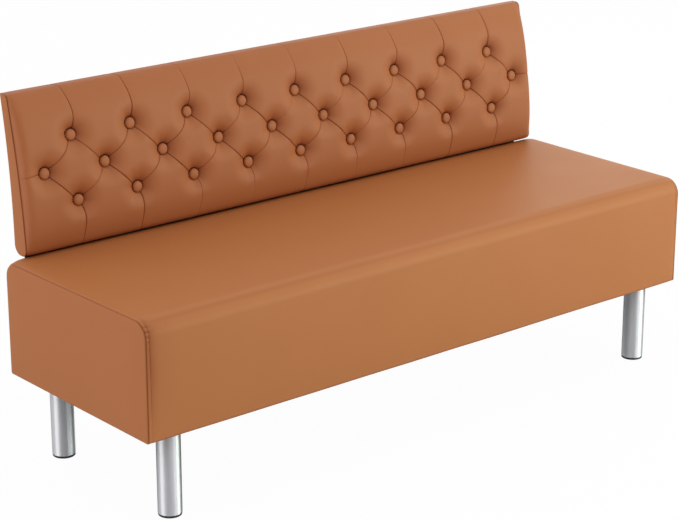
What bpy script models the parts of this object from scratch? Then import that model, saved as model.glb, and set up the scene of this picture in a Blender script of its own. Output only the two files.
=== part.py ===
"""Waiting room bench: a long upholstered box seat on four tube legs, with a leaning buttoned back.

Metres, +Z up. The bench faces -Y and its length runs along X. While it is drawn, y = 0 is the front of the
seat box and z = 0 the floor; the whole bench is then moved so that the origin lies on the floor under the
middle of its overall box.
"""

import math

import bmesh
import bpy
from mathutils import Matrix, Vector

# Driving sizes of the seat box
SEAT_LENGTH = 1.530
SEAT_DEPTH = 0.499
SEAT_BOX_HEIGHT = 0.248
SEAT_FRONT_RADIUS = 0.034
SEAT_REAR_RADIUS = 0.030
SEAT_BOTTOM_RADIUS = 0.004
SEAT_TOP_CROWN = 0.006
SEAT_EDGE_CROWN = 0.005
SEAT_REAR_CROWN = 0.0044
SEAT_FRONT_CROWN = 0.004
CROWN_SPREAD = 32
HEM_WIDTH = 0.020
COVER_THICKNESS = 0.002
SIDE_PADDING = 0.006

# Driving sizes of the timber frame inside the seat
RAIL_THICKNESS = 0.020
RAIL_HEIGHT = 0.150
DECK_THICKNESS = 0.012
CENTRE_RAIL_HEIGHT = 0.120
LEG_BOARD_WIDTH = 0.150
LEG_BOARD_THICKNESS = 0.018
DUST_COVER_THICKNESS = 0.001

# Driving sizes of the legs and their levelling glides
FLOOR_TO_SEAT_BOX = 0.188
LEG_DIAMETER = 0.050
LEG_WALL = 0.0015
LEG_CAP_THICKNESS = 0.004
LEG_INSET_END = 0.083
LEG_INSET_FRONT = 0.049
LEG_INSET_REAR = 0.063
STUD_DIAMETER = 0.008
STUD_LENGTH = 0.024
NUT_PLATE_THICKNESS = 0.004
NUT_PLATE_DEPTH = 0.002
GLIDE_HEIGHT = 0.005
GLIDE_RIM_INSET = 0.0005
GLIDE_EDGE = 0.0012
GLIDE_STEM_DIAMETER = 0.008
GLIDE_STEM_LENGTH = 0.034

# Driving sizes of the back
BACK_LENGTH = 1.470
BACK_HEIGHT = 0.338
BACK_GAP = 0.010
BACK_REAR_OVERHANG = 0.010
BACK_LEAN_DEG = 5.0
BACK_BOW = 0.008
BACK_BOTTOM_THICKNESS = 0.044
BACK_TOP_THICKNESS = 0.023
BACK_TOP_RADIUS = 0.016
BACK_BOTTOM_RADIUS = 0.015
BACK_HEEL_RADIUS = 0.022
BACK_BOARD_THICKNESS = 0.012
BACK_BOARD_SETBACK = 0.020

# Driving sizes of the buttoned face
BACK_PUFF = 0.017
END_ROUNDING = 0.042
MID_ROW_BUTTONS = 10
BUTTON_END_MARGIN = 0.060
BUTTON_ROW_SPACING = 0.068
BUTTON_DIAMETER = 0.0245
BUTTON_HEIGHT = 0.008
BUTTON_SEAT_MARGIN = 0.0006
DIMPLE_REACH = 0.060
DIMPLE_SHARE = 0.80
PLEAT_REACH = 0.036
PLEAT_SHARE = 0.34

# Driving sizes of the rear brackets and their bolts
BRACKET_COUNT = 3
BRACKET_SPACING = 0.520
BRACKET_WIDTH = 0.040
BRACKET_THICKNESS = 0.005
BRACKET_UPPER_LENGTH = 0.140
BRACKET_BEND_CLEARANCE = 0.006
CROSS_BAR_HEIGHT = 0.026
CROSS_BAR_DROP = 0.010
CROSS_BAR_END_MARGIN = 0.020
BOLT_DIAMETER = 0.006
BOLT_HEAD_DIAMETER = 0.014
BOLT_HEAD_HEIGHT = 0.0035
BOLT_SPACING = 0.060
BOLT_EDGE_DISTANCE = 0.022

# Clearances between pieces that touch, and between a thread and its hole
CLEARANCE = 0.0004
THREAD_CLEARANCE = 0.0004
BUTTON_CLEARANCE = 0.0004

# How finely round and soft forms are divided
ROUND_STEPS = 24
BUTTON_STEPS = 12
STUD_STEPS = 12
BOLT_STEPS = 8
ARC_STEPS = 4
SEAT_STATIONS = 12
SEAT_TOP_STEPS = 6
BACK_CURVE_STEPS = 6
CUTTER_OVERRUN = 0.020

# Sizes that follow from the driving ones
SEAT_BOTTOM = FLOOR_TO_SEAT_BOX
SEAT_TOP = SEAT_BOTTOM + SEAT_BOX_HEIGHT
COVER_INSET = COVER_THICKNESS + CLEARANCE
COVER_HALF_LENGTH = SEAT_LENGTH / 2 - COVER_INSET
FRAME_INSET = COVER_INSET + SIDE_PADDING + CLEARANCE
FRAME_HALF_LENGTH = SEAT_LENGTH / 2 - FRAME_INSET
FRAME_FRONT = FRAME_INSET
FRAME_REAR = SEAT_DEPTH - FRAME_INSET
FRAME_BOTTOM = SEAT_BOTTOM + COVER_INSET
RAIL_TOP = FRAME_BOTTOM + RAIL_HEIGHT
DECK_BOTTOM = RAIL_TOP + CLEARANCE
DECK_TOP = DECK_BOTTOM + DECK_THICKNESS
DUST_COVER_BOTTOM = FRAME_BOTTOM - CLEARANCE - DUST_COVER_THICKNESS
LEG_TOP = DUST_COVER_BOTTOM - CLEARANCE
LEG_BOTTOM = GLIDE_HEIGHT + CLEARANCE
LEG_PLACES = {
    "front_left": (-SEAT_LENGTH / 2 + LEG_INSET_END, LEG_INSET_FRONT),
    "front_right": (SEAT_LENGTH / 2 - LEG_INSET_END, LEG_INSET_FRONT),
    "rear_left": (-SEAT_LENGTH / 2 + LEG_INSET_END, SEAT_DEPTH - LEG_INSET_REAR),
    "rear_right": (SEAT_LENGTH / 2 - LEG_INSET_END, SEAT_DEPTH - LEG_INSET_REAR),
}

BACK_BOTTOM = SEAT_TOP + BACK_GAP
BACK_TOP = BACK_BOTTOM + BACK_HEIGHT
BACK_REAR_BOTTOM = SEAT_DEPTH + BACK_REAR_OVERHANG
BACK_REAR_TOP = BACK_REAR_BOTTOM + BACK_HEIGHT * math.tan(math.radians(BACK_LEAN_DEG))
BACK_COVER_HALF_LENGTH = BACK_LENGTH / 2 - COVER_INSET
BACK_HEEL_TOP = BACK_BOTTOM + BACK_HEEL_RADIUS
BACK_PANEL_TOP = BACK_TOP - COVER_INSET

BUTTON_PITCH = (BACK_LENGTH - 2 * BUTTON_END_MARGIN) / (MID_ROW_BUTTONS - 1)
MID_ROW_HEIGHT = BACK_BOTTOM + BACK_HEIGHT / 2
BUTTON_SEAT_HALF = BUTTON_DIAMETER / 2 + BUTTON_SEAT_MARGIN
BUTTON_SEAT_RISE = BUTTON_SEAT_HALF * 2 * BUTTON_ROW_SPACING / BUTTON_PITCH


def clear_scene():
    for item in list(bpy.data.objects):
        bpy.data.objects.remove(item)


def make_collection(name):
    collection = bpy.data.collections.new(name)
    bpy.context.scene.collection.children.link(collection)
    return collection


def make_material(name, colour, roughness, metallic=0.0):
    material = bpy.data.materials.new(name)
    material.use_nodes = True
    shader = material.node_tree.nodes["Principled BSDF"]
    shader.inputs["Base Color"].default_value = (*colour, 1.0)
    shader.inputs["Roughness"].default_value = roughness
    shader.inputs["Metallic"].default_value = metallic
    return material


def add_part(name, data, material):
    """A named piece of the bench, carried by the bench's empty."""
    part = bpy.data.objects.new(name, data)
    data.materials.append(material)
    PARTS.objects.link(part)
    part.parent = BENCH
    return part


def add_cutter(name, mesh):
    cutter = bpy.data.objects.new(name, mesh)
    CUTTERS.objects.link(cutter)
    cutter.parent = BENCH
    cutter.hide_render = True
    cutter.display_type = "WIRE"
    return cutter


def combine(part, other, operation):
    modifier = part.modifiers.new(f"{operation.lower()} {other.name}", "BOOLEAN")
    modifier.operation = operation
    modifier.solver = "MANIFOLD"
    modifier.object = other


def cut(part, cutter):
    combine(part, cutter, "DIFFERENCE")


def add_drill(name, start, end, radius, steps):
    """A round cutter between two points."""
    start, end = Vector(start), Vector(end)
    turn = (end - start).to_track_quat("Z", "Y").to_matrix().to_4x4()
    bm = bmesh.new()
    bmesh.ops.create_cone(
        bm,
        cap_ends=True,
        segments=steps,
        radius1=radius,
        radius2=radius,
        depth=(end - start).length,
        matrix=Matrix.Translation((start + end) / 2) @ turn,
    )
    return add_cutter(name, finish_mesh(bm, name))


def finish_mesh(bm, name):
    mesh = bpy.data.meshes.new(name)
    bm.to_mesh(mesh)
    bm.free()
    return mesh


def box_mesh(name, low, high):
    bm = bmesh.new()
    bmesh.ops.create_cube(bm, size=1.0)
    low, high = Vector(low), Vector(high)
    bmesh.ops.scale(bm, vec=high - low, verts=bm.verts)
    bmesh.ops.translate(bm, vec=(low + high) / 2, verts=bm.verts)
    return finish_mesh(bm, name)


def add_board(name, low, high, material):
    return add_part(name, box_mesh(name, low, high), material)


def swept_mesh(name, stations, section, shift=None, closed=True):
    """A cross-section of (y, z) points carried along the x stations; shift then moves each point.

    The section runs up the front, back over the top and down the rear, so that its faces point outwards.
    """
    points = [*section, section[0]] if closed else section
    bm = bmesh.new()
    bmesh.ops.create_grid(bm, x_segments=len(stations) - 1, y_segments=len(points) - 1, size=1.0)
    for vertex in bm.verts:
        x = stations[round((vertex.co.x + 1) / 2 * (len(stations) - 1))]
        y, z = points[round((vertex.co.y + 1) / 2 * (len(points) - 1))]
        vertex.co = shift(x, y, z) if shift else (x, y, z)
    if closed:
        bmesh.ops.remove_doubles(bm, verts=bm.verts, dist=1e-6)
        bmesh.ops.holes_fill(bm, edges=[edge for edge in bm.edges if edge.is_boundary])
        bmesh.ops.recalc_face_normals(bm, faces=bm.faces)
    return finish_mesh(bm, name)


def profile_mesh(name, profile):
    """A turned piece's (radius, height) profile, which runs down its outer side from the axis to the axis."""
    mesh = bpy.data.meshes.new(name)
    points = [(radius, 0.0, height) for radius, height in profile]
    mesh.from_pydata(points, [(i, i + 1) for i in range(len(points) - 1)], [])
    return mesh


def turn(item, steps):
    screw = item.modifiers.new("turn", "SCREW")
    screw.axis = "Z"
    screw.steps = steps
    screw.render_steps = steps
    screw.use_merge_vertices = True
    screw.merge_threshold = 1e-6
    screw.use_smooth_shade = False


def add_turned(name, profile, place, steps, material):
    part = add_part(name, profile_mesh(name, profile), material)
    part.location = place
    turn(part, steps)
    return part


def arc(centre, radius, start_deg, end_deg, steps=ARC_STEPS):
    """Points of an arc in the (y, z) plane, both ends included; 0 degrees points along +y."""
    turn = [math.radians(start_deg + (end_deg - start_deg) * i / steps) for i in range(steps + 1)]
    return [(centre[0] + radius * math.cos(a), centre[1] + radius * math.sin(a)) for a in turn]


def between(start, end, steps):
    """Points strictly between two points."""
    return [
        tuple(a + (b - a) * i / steps for a, b in zip(start, end))
        for i in range(1, steps)
    ]


# The seat's outline, which the cover, the padding and the end panels share


def seat_section(inset=0.0):
    """The seat box's outline in (y, z), drawn in by an inset, from its front lower corner round to its rear one."""
    low, high = SEAT_BOTTOM + inset, SEAT_TOP - inset
    front, rear = inset, SEAT_DEPTH - inset
    foot = max(SEAT_BOTTOM_RADIUS - inset, SEAT_BOTTOM_RADIUS / 4)
    nose, heel = SEAT_FRONT_RADIUS - inset, SEAT_REAR_RADIUS - inset
    front_foot = arc((front + foot, low + foot), foot, 270, 180, 2)
    front_top = arc((front + nose, high - nose), nose, 180, 90)
    rear_top = arc((rear - heel, high - heel), heel, 90, 0)
    rear_foot = arc((rear - foot, low + foot), foot, 0, -90, 2)
    return [
        *front_foot,
        *between(front_foot[-1], front_top[0], 3),
        *front_top,
        *between(front_top[-1], rear_top[0], SEAT_TOP_STEPS),
        *rear_top,
        *rear_foot,
    ]


def seat_crown(x, y, z):
    """Lifts the seat's top, most in its middle, and pushes out its front; its ends stay straight."""
    along = 1 - abs(2 * x / SEAT_LENGTH) ** CROWN_SPREAD
    up = (z - SEAT_BOTTOM) / SEAT_BOX_HEIGHT
    back = y / SEAT_DEPTH
    crown = SEAT_EDGE_CROWN + (SEAT_TOP_CROWN - SEAT_EDGE_CROWN) * (1 - (2 * back - 1) ** 2)
    crown += SEAT_REAR_CROWN * max(0.0, back) ** 3
    push = SEAT_FRONT_CROWN * (1 - back) * (1 - (2 * up - 1) ** 2)
    return Vector((x, y - push * along, z + crown * up * along))


def stations_to(half_length, count):
    """Stations along x, closer together towards the ends, where the crown falls away."""
    return [half_length * math.sin(math.pi / 2 * (2 * i / count - 1)) for i in range(count + 1)]


def add_seat_cover(leather):
    """The leather wrap: a hem under the front rail, up the front, over the top, down the rear and under again."""
    section = seat_section()
    section = [(HEM_WIDTH, SEAT_BOTTOM), *section, (SEAT_DEPTH - HEM_WIDTH, SEAT_BOTTOM)]
    stations = stations_to(COVER_HALF_LENGTH, SEAT_STATIONS)
    mesh = swept_mesh("seat_cover", stations, section, seat_crown, closed=False)
    mesh.shade_smooth()
    cover = add_part("seat_cover", mesh, leather)
    shell = cover.modifiers.new("leather thickness", "SOLIDIFY")
    shell.thickness = COVER_THICKNESS
    shell.offset = -1.0
    shell.use_even_offset = True


def add_end_panels(name, section, half_length, leather):
    """The flat leather panels sewn to both ends of a wrap."""
    for side, sign in (("left", -1), ("right", 1)):
        outer = sign * half_length
        inner = outer - sign * COVER_THICKNESS
        mesh = swept_mesh(f"{name}_{side}", sorted((outer, inner)), section)
        add_part(f"{name}_{side}", mesh, leather)


def add_seat_padding(foam):
    """The foam over the deck, with thin sides that hang down round the frame."""
    stations = stations_to(COVER_HALF_LENGTH, SEAT_STATIONS)
    mesh = swept_mesh("seat_foam", stations, seat_section(COVER_INSET), seat_crown)
    padding = add_part("seat_foam", mesh, foam)
    low = (-FRAME_HALF_LENGTH - CLEARANCE, FRAME_FRONT - CLEARANCE, SEAT_BOTTOM - CUTTER_OVERRUN)
    high = (FRAME_HALF_LENGTH + CLEARANCE, FRAME_REAR + CLEARANCE, DECK_TOP + CLEARANCE)
    cut(padding, add_cutter("frame_space", box_mesh("frame_space", low, high)))


# The timber frame


def add_frame(timber):
    """Front and rear rails, end rails between them, a centre rail and the deck that they carry."""
    inner_half = FRAME_HALF_LENGTH - RAIL_THICKNESS
    inner_front = FRAME_FRONT + RAIL_THICKNESS
    inner_rear = FRAME_REAR - RAIL_THICKNESS
    add_board(
        "front_rail",
        (-FRAME_HALF_LENGTH, FRAME_FRONT, FRAME_BOTTOM),
        (FRAME_HALF_LENGTH, inner_front, RAIL_TOP),
        timber,
    )
    add_board(
        "rear_rail",
        (-FRAME_HALF_LENGTH, inner_rear, FRAME_BOTTOM),
        (FRAME_HALF_LENGTH, FRAME_REAR, RAIL_TOP),
        timber,
    )
    crosswise = (inner_front + CLEARANCE, inner_rear - CLEARANCE)
    for side, low_x in (("left", -FRAME_HALF_LENGTH), ("right", inner_half)):
        add_board(
            f"end_rail_{side}",
            (low_x, crosswise[0], FRAME_BOTTOM),
            (low_x + RAIL_THICKNESS, crosswise[1], RAIL_TOP),
            timber,
        )
    add_board(
        "centre_rail",
        (-RAIL_THICKNESS / 2, crosswise[0], RAIL_TOP - CENTRE_RAIL_HEIGHT),
        (RAIL_THICKNESS / 2, crosswise[1], RAIL_TOP),
        timber,
    )
    add_board(
        "seat_deck",
        (-FRAME_HALF_LENGTH, FRAME_FRONT, DECK_BOTTOM),
        (FRAME_HALF_LENGTH, FRAME_REAR, DECK_TOP),
        timber,
    )
    add_leg_boards(inner_half, crosswise, timber)


def add_leg_boards(inner_half, crosswise, timber):
    """A board across each end of the frame, drilled for the two leg studs that it holds."""
    outer = inner_half - CLEARANCE
    inner = outer - LEG_BOARD_WIDTH
    for side, span in (("left", (-outer, -inner)), ("right", (inner, outer))):
        board = add_board(
            f"leg_board_{side}",
            (span[0], crosswise[0], FRAME_BOTTOM),
            (span[1], crosswise[1], FRAME_BOTTOM + LEG_BOARD_THICKNESS),
            timber,
        )
        radius = STUD_DIAMETER / 2 + THREAD_CLEARANCE
        low, high = SEAT_BOTTOM - CUTTER_OVERRUN, FRAME_BOTTOM + LEG_BOARD_THICKNESS + CUTTER_OVERRUN
        for corner, place in LEG_PLACES.items():
            if corner.endswith(side):
                drill = add_drill(f"stud_drill_{corner}", (*place, low), (*place, high), radius, STUD_STEPS)
                cut(board, drill)


def add_dust_cover(cloth):
    """The black cloth under the frame, inside the leather hems, with a hole for each leg stud."""
    low = (-COVER_HALF_LENGTH, HEM_WIDTH + CLEARANCE, DUST_COVER_BOTTOM)
    high = (COVER_HALF_LENGTH, SEAT_DEPTH - HEM_WIDTH - CLEARANCE, DUST_COVER_BOTTOM + DUST_COVER_THICKNESS)
    cover = add_board("dust_cover", low, high, cloth)
    for corner in LEG_PLACES:
        cut(cover, bpy.data.objects[f"stud_drill_{corner}"])


# Legs and glides


def add_legs(chrome):
    """Tubes closed by a welded cap with a threaded stud, and by a tapped plate inside the lower end."""
    outer = LEG_DIAMETER / 2
    inner = outer - LEG_WALL
    stud = STUD_DIAMETER / 2
    tapped = GLIDE_STEM_DIAMETER / 2 + THREAD_CLEARANCE
    plate_bottom = LEG_BOTTOM + NUT_PLATE_DEPTH
    plate_top = plate_bottom + NUT_PLATE_THICKNESS
    profile = [
        (0.0, LEG_TOP + STUD_LENGTH),
        (stud, LEG_TOP + STUD_LENGTH),
        (stud, LEG_TOP),
        (outer, LEG_TOP),
        (outer, LEG_BOTTOM),
        (inner, LEG_BOTTOM),
        (inner, plate_bottom),
        (tapped, plate_bottom),
        (tapped, plate_top),
        (inner, plate_top),
        (inner, LEG_TOP - LEG_CAP_THICKNESS),
        (0.0, LEG_TOP - LEG_CAP_THICKNESS),
    ]
    for corner, place in LEG_PLACES.items():
        add_turned(f"leg_{corner}", profile, (*place, 0.0), ROUND_STEPS, chrome)


def add_glides(plastic):
    """Levelling feet: a flat base with a threaded stem that screws up into the leg."""
    rim = LEG_DIAMETER / 2 - GLIDE_RIM_INSET
    stem = GLIDE_STEM_DIAMETER / 2
    profile = [
        (0.0, GLIDE_HEIGHT + GLIDE_STEM_LENGTH),
        (stem, GLIDE_HEIGHT + GLIDE_STEM_LENGTH),
        (stem, GLIDE_HEIGHT),
        (rim, GLIDE_HEIGHT),
        (rim, GLIDE_EDGE),
        (rim - GLIDE_EDGE, 0.0),
        (0.0, 0.0),
    ]
    for corner, place in LEG_PLACES.items():
        add_turned(f"glide_{corner}", profile, (*place, 0.0), ROUND_STEPS, plastic)


# The back's outline


def back_share(z):
    return (z - BACK_BOTTOM) / BACK_HEIGHT


def back_rear(z):
    """Where the back's rear face lies: leaning, and bowed forwards between its lower and upper edges."""
    share = back_share(z)
    straight = BACK_REAR_BOTTOM + (BACK_REAR_TOP - BACK_REAR_BOTTOM) * share
    return straight - BACK_BOW * 4 * share * (1 - share)


def back_seam(z):
    """Where the front seams of the end panels lie: the back thins towards its top."""
    thickness = BACK_BOTTOM_THICKNESS + (BACK_TOP_THICKNESS - BACK_BOTTOM_THICKNESS) * back_share(z)
    return back_rear(z) - thickness


HEEL_MIDDLE = back_rear(BACK_HEEL_TOP) - BACK_HEEL_RADIUS


def button_rows():
    """(x, z) of every button: a long middle row, and a shorter row above and below it, set half a pitch over."""
    rows = {}
    for row, count, rise in (
        ("top", MID_ROW_BUTTONS - 1, BUTTON_ROW_SPACING),
        ("middle", MID_ROW_BUTTONS, 0.0),
        ("bottom", MID_ROW_BUTTONS - 1, -BUTTON_ROW_SPACING),
    ):
        first = -BUTTON_PITCH * (count - 1) / 2
        rows[row] = [(first + BUTTON_PITCH * i, MID_ROW_HEIGHT + rise) for i in range(count)]
    return rows


def pleat_lines(rows):
    """The folds: diagonals between rows, uprights to the upper and lower edges, one out to each end."""
    pleats = []
    for row, edge in (("top", BACK_TOP), ("bottom", BACK_BOTTOM)):
        for i, button in enumerate(rows[row]):
            pleats.append((button, rows["middle"][i]))
            pleats.append((button, rows["middle"][i + 1]))
            pleats.append((button, (button[0], edge)))
    pleats.append((rows["middle"][0], (-BACK_LENGTH / 2, MID_ROW_HEIGHT)))
    pleats.append((rows["middle"][-1], (BACK_LENGTH / 2, MID_ROW_HEIGHT)))
    return [(Vector(start), Vector(end)) for start, end in pleats]


def line_distance(point, start, end):
    along = end - start
    share = max(0.0, min(1.0, (point - start).dot(along) / along.length_squared))
    return (point - start - along * share).length


def fade(distance, reach):
    """1 at no distance, falling to 0 at the reach."""
    return max(0.0, 1 - distance / reach) ** 2


def puff(x, z):
    """How far the padded face stands out in front of the end seams, less its button dimples and pleats."""
    end = min(1.0, (BACK_COVER_HALF_LENGTH - abs(x)) / END_ROUNDING)
    fullness = (1 - abs(2 * back_share(z) - 1) ** 4) * (1 - (1 - end) ** 5)
    point = Vector((x, z))
    flat = math.hypot(BUTTON_SEAT_HALF, BUTTON_SEAT_RISE)
    nearest = min((point - Vector(button)).length for row in BUTTONS.values() for button in row)
    dimple = fade(max(0.0, nearest - flat), DIMPLE_REACH)
    pleat = fade(min(line_distance(point, *line) for line in PLEATS), PLEAT_REACH)
    return BACK_PUFF * fullness * (1 - max(DIMPLE_SHARE * dimple, PLEAT_SHARE * pleat))


def padded_point(x, y, z):
    """A point of the back's outline, pushed forwards by the padding as far as it lies towards the front."""
    frontness = (back_rear(z) - y) / (back_rear(z) - back_seam(z))
    return Vector((x, y - puff(x, z) * max(0.0, frontness) ** 3, z))


def face_heights():
    """Heights across the buttoned face: both sides of each button row, half-way between rows, and the edges."""
    low, high = BACK_BOTTOM + BACK_BOTTOM_RADIUS, BACK_TOP - BACK_TOP_RADIUS
    heights = []
    for rise in (-BUTTON_ROW_SPACING, 0.0, BUTTON_ROW_SPACING):
        heights.append(MID_ROW_HEIGHT + rise - BUTTON_SEAT_RISE)
        heights.append(MID_ROW_HEIGHT + rise + BUTTON_SEAT_RISE)
        heights.append(MID_ROW_HEIGHT + rise + BUTTON_ROW_SPACING / 2)
    heights.pop()
    below = [low + (heights[0] - low) * share for share in (0.0, 0.35, 0.70)]
    above = [heights[-1] + (high - heights[-1]) * share for share in (0.40, 0.75, 1.0)]
    return below + heights + above


def back_section(inset=0.0, heights=None):
    """The wrap's outline in (y, z): under the back's lower edge, up its front and over its top."""
    low, high = BACK_BOTTOM + inset, BACK_TOP - inset
    toe, lip = BACK_BOTTOM_RADIUS - inset, BACK_TOP_RADIUS - inset
    toe_y = back_seam(low + toe) + inset
    lip_y = back_seam(high - lip) + inset
    steps = BACK_CURVE_STEPS
    heights = heights or [low + toe + (high - lip - low - toe) * i / steps for i in range(steps + 1)]
    return [
        (HEEL_MIDDLE, low),
        *arc((toe_y + toe, low + toe), toe, 270, 180, 2)[:-1],
        *[(back_seam(z) + inset, z) for z in heights],
        *arc((lip_y + lip, high - lip), lip, 180, 90, 3)[1:],
        (back_rear(high), high),
    ]


def rear_curve(offset, start, end):
    """The back's rear face from one height to another, moved by an offset."""
    steps = BACK_CURVE_STEPS
    heights = [start + (end - start) * i / steps for i in range(steps + 1)]
    return [(back_rear(z) + offset, z) for z in heights]


def rear_section(inset=0.0):
    """The rear panel's outline in (y, z): down the back's rear and forwards round its heel."""
    heel = arc((HEEL_MIDDLE, BACK_HEEL_TOP), BACK_HEEL_RADIUS - inset, 0, -90)
    return [*rear_curve(-inset, BACK_PANEL_TOP, BACK_HEEL_TOP), *heel[1:]]


def tuft_stations():
    """Stations along x: both sides of each button column, half-way between columns, and the rounded ends."""
    step = BUTTON_PITCH / 2
    columns = MID_ROW_BUTTONS - 1
    stations = []
    for i in range(-columns, columns + 1):
        stations += [i * step - BUTTON_SEAT_HALF, i * step + BUTTON_SEAT_HALF, (i + 0.5) * step]
    stations.pop()
    last = stations[-1]
    ends = [last + (BACK_COVER_HALF_LENGTH - last) * share for share in (0.45, 0.82, 1.0)]
    return [-x for x in reversed(ends)] + stations + ends


def split_along_pleats(mesh):
    """Divides each face of the buttoned front along the pleat that crosses it, so that the folds stay sharp."""
    bm = bmesh.new()
    bm.from_mesh(mesh)

    def on_pleat(vertex):
        point = Vector((vertex.co.x, vertex.co.z))
        return min(line_distance(point, *line) for line in PLEATS) < BUTTON_CLEARANCE

    for face in [face for face in bm.faces if len(face.verts) == 4 and face.normal.y < -0.5]:
        corners = face.verts[:]
        for first, second in ((corners[0], corners[2]), (corners[1], corners[3])):
            if on_pleat(first) and on_pleat(second):
                bmesh.utils.face_split(face, first, second)
                break
    bm.to_mesh(mesh)
    bm.free()


def add_back_cover(leather):
    """The padded leather wrap: the buttoned face with its upper and lower returns, hollow at the rear."""
    section = back_section(heights=face_heights())
    mesh = swept_mesh("back_cover", tuft_stations(), section, padded_point)
    split_along_pleats(mesh)
    mesh.shade_smooth()
    cover = add_part("back_cover", mesh, leather)
    hollow = back_section(COVER_THICKNESS)
    behind = max(BACK_REAR_TOP, BACK_REAR_BOTTOM) + CUTTER_OVERRUN
    hollow = [(behind, hollow[0][1]), *hollow, (behind, hollow[-1][1])]
    reach = BACK_LENGTH / 2 + CUTTER_OVERRUN
    cut(cover, add_cutter("back_space", swept_mesh("back_space", [-reach, reach], hollow)))


def add_back_core(timber, foam, leather):
    """Rear panel, bent board and foam, in layers from the rear of the back forwards."""
    ends = [-BACK_COVER_HALF_LENGTH, BACK_COVER_HALF_LENGTH]
    panel = rear_section() + [*reversed(rear_section(COVER_THICKNESS))]
    panel = [(max(y, HEEL_MIDDLE + CLEARANCE), z) for y, z in panel]
    add_part("back_rear_panel", swept_mesh("back_rear_panel", ends, panel), leather)
    board_top = BACK_TOP - BACK_BOARD_SETBACK
    board_front = COVER_INSET + BACK_BOARD_THICKNESS
    board = rear_curve(-board_front, BACK_HEEL_TOP, board_top)
    board += rear_curve(-COVER_INSET, board_top, BACK_HEEL_TOP)
    add_part("back_board", swept_mesh("back_board", ends, board), timber)
    over_board = board_top + CLEARANCE
    filling = back_section(COVER_INSET)[:-1]
    filling += [(back_rear(z) - COVER_INSET, z) for z in (BACK_PANEL_TOP, over_board)]
    filling += rear_curve(-board_front - CLEARANCE, over_board, BACK_HEEL_TOP)
    add_part("back_foam", swept_mesh("back_foam", ends, filling), foam)


def add_buttons(leather):
    """Covered buttons, each on the flat of its dimple and square to the leaning face."""
    radius = BUTTON_DIAMETER / 2
    profile = [
        (0.0, BUTTON_HEIGHT),
        (radius * 0.55, BUTTON_HEIGHT * 0.86),
        (radius * 0.88, BUTTON_HEIGHT * 0.55),
        (radius, BUTTON_HEIGHT * 0.20),
        (radius * 0.92, 0.0),
        (0.0, 0.0),
    ]
    for row, buttons in BUTTONS.items():
        for number, (x, z) in enumerate(buttons, 1):
            corners = [
                padded_point(x + across, back_seam(z + up), z + up)
                for across in (-BUTTON_SEAT_HALF, BUTTON_SEAT_HALF)
                for up in (-BUTTON_SEAT_RISE, BUTTON_SEAT_RISE)
            ]
            slope = (corners[1] - corners[0]).normalized()
            outwards = Vector((1, 0, 0)).cross(slope)
            middle = sum(corners, Vector()) / len(corners)
            place = middle + outwards * BUTTON_CLEARANCE
            button = add_turned(f"button_{row}_{number:02d}", profile, place, BUTTON_STEPS, leather)
            button.rotation_euler = outwards.to_track_quat("Z", "Y").to_euler()


def bracket_step():
    """The bends between which a bracket steps back, as (y, z) of its front face."""
    lower = (SEAT_DEPTH + CLEARANCE, SEAT_TOP - SEAT_REAR_RADIUS - BRACKET_BEND_CLEARANCE)
    return lower, (back_rear(BACK_HEEL_TOP) + CLEARANCE, BACK_HEEL_TOP - BRACKET_BEND_CLEARANCE)


def add_cross_bar(steel):
    """A flat bar along the brackets' step, which keeps them from twisting and closes the gap below the back."""
    (low_y, low_z), (high_y, high_z) = bracket_step()
    middle = BACK_BOTTOM - CROSS_BAR_DROP
    section = []
    for z in (middle - CROSS_BAR_HEIGHT / 2, middle + CROSS_BAR_HEIGHT / 2):
        rear = low_y + (high_y - low_y) * (z - low_z) / (high_z - low_z) - CLEARANCE
        section.append(((rear - BRACKET_THICKNESS, z), (rear, z)))
    section = [section[0][0], section[1][0], section[1][1], section[0][1]]
    half = BACK_LENGTH / 2 - CROSS_BAR_END_MARGIN
    add_part("back_cross_bar", swept_mesh("back_cross_bar", [-half, half], section), steel)


def add_brackets(steel):
    """Flat bars up the rear of the seat box, set back to the rear of the back and on up along it."""
    seat_face = SEAT_DEPTH + CLEARANCE
    rail_middle = FRAME_BOTTOM + RAIL_HEIGHT / 2
    seat_bolts = [rail_middle - BOLT_SPACING / 2, rail_middle + BOLT_SPACING / 2]
    top = BACK_HEEL_TOP + BRACKET_UPPER_LENGTH
    back_bolts = [top - BOLT_EDGE_DISTANCE - BOLT_SPACING, top - BOLT_EDGE_DISTANCE]
    face = [(seat_face, seat_bolts[0] - BOLT_EDGE_DISTANCE), *bracket_step()]
    face += rear_curve(CLEARANCE, BACK_HEEL_TOP, top)
    section = face + [(y + BRACKET_THICKNESS, z) for y, z in reversed(face)]
    for number in range(BRACKET_COUNT):
        middle = (number - (BRACKET_COUNT - 1) / 2) * BRACKET_SPACING
        ends = [middle - BRACKET_WIDTH / 2, middle + BRACKET_WIDTH / 2]
        name = f"back_bracket_{number + 1}"
        bracket = add_part(name, swept_mesh(name, ends, section), steel)
        for z in seat_bolts:
            head = seat_face + BRACKET_THICKNESS
            add_bolt(bracket, (middle, head, z), FRAME_REAR - RAIL_THICKNESS, SEAT_BOLTED)
        for z in back_bolts:
            head = back_rear(z) + CLEARANCE + BRACKET_THICKNESS
            add_bolt(bracket, (middle, head, z), back_rear(z) - COVER_INSET - BACK_BOARD_THICKNESS, BACK_BOLTED)


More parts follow.
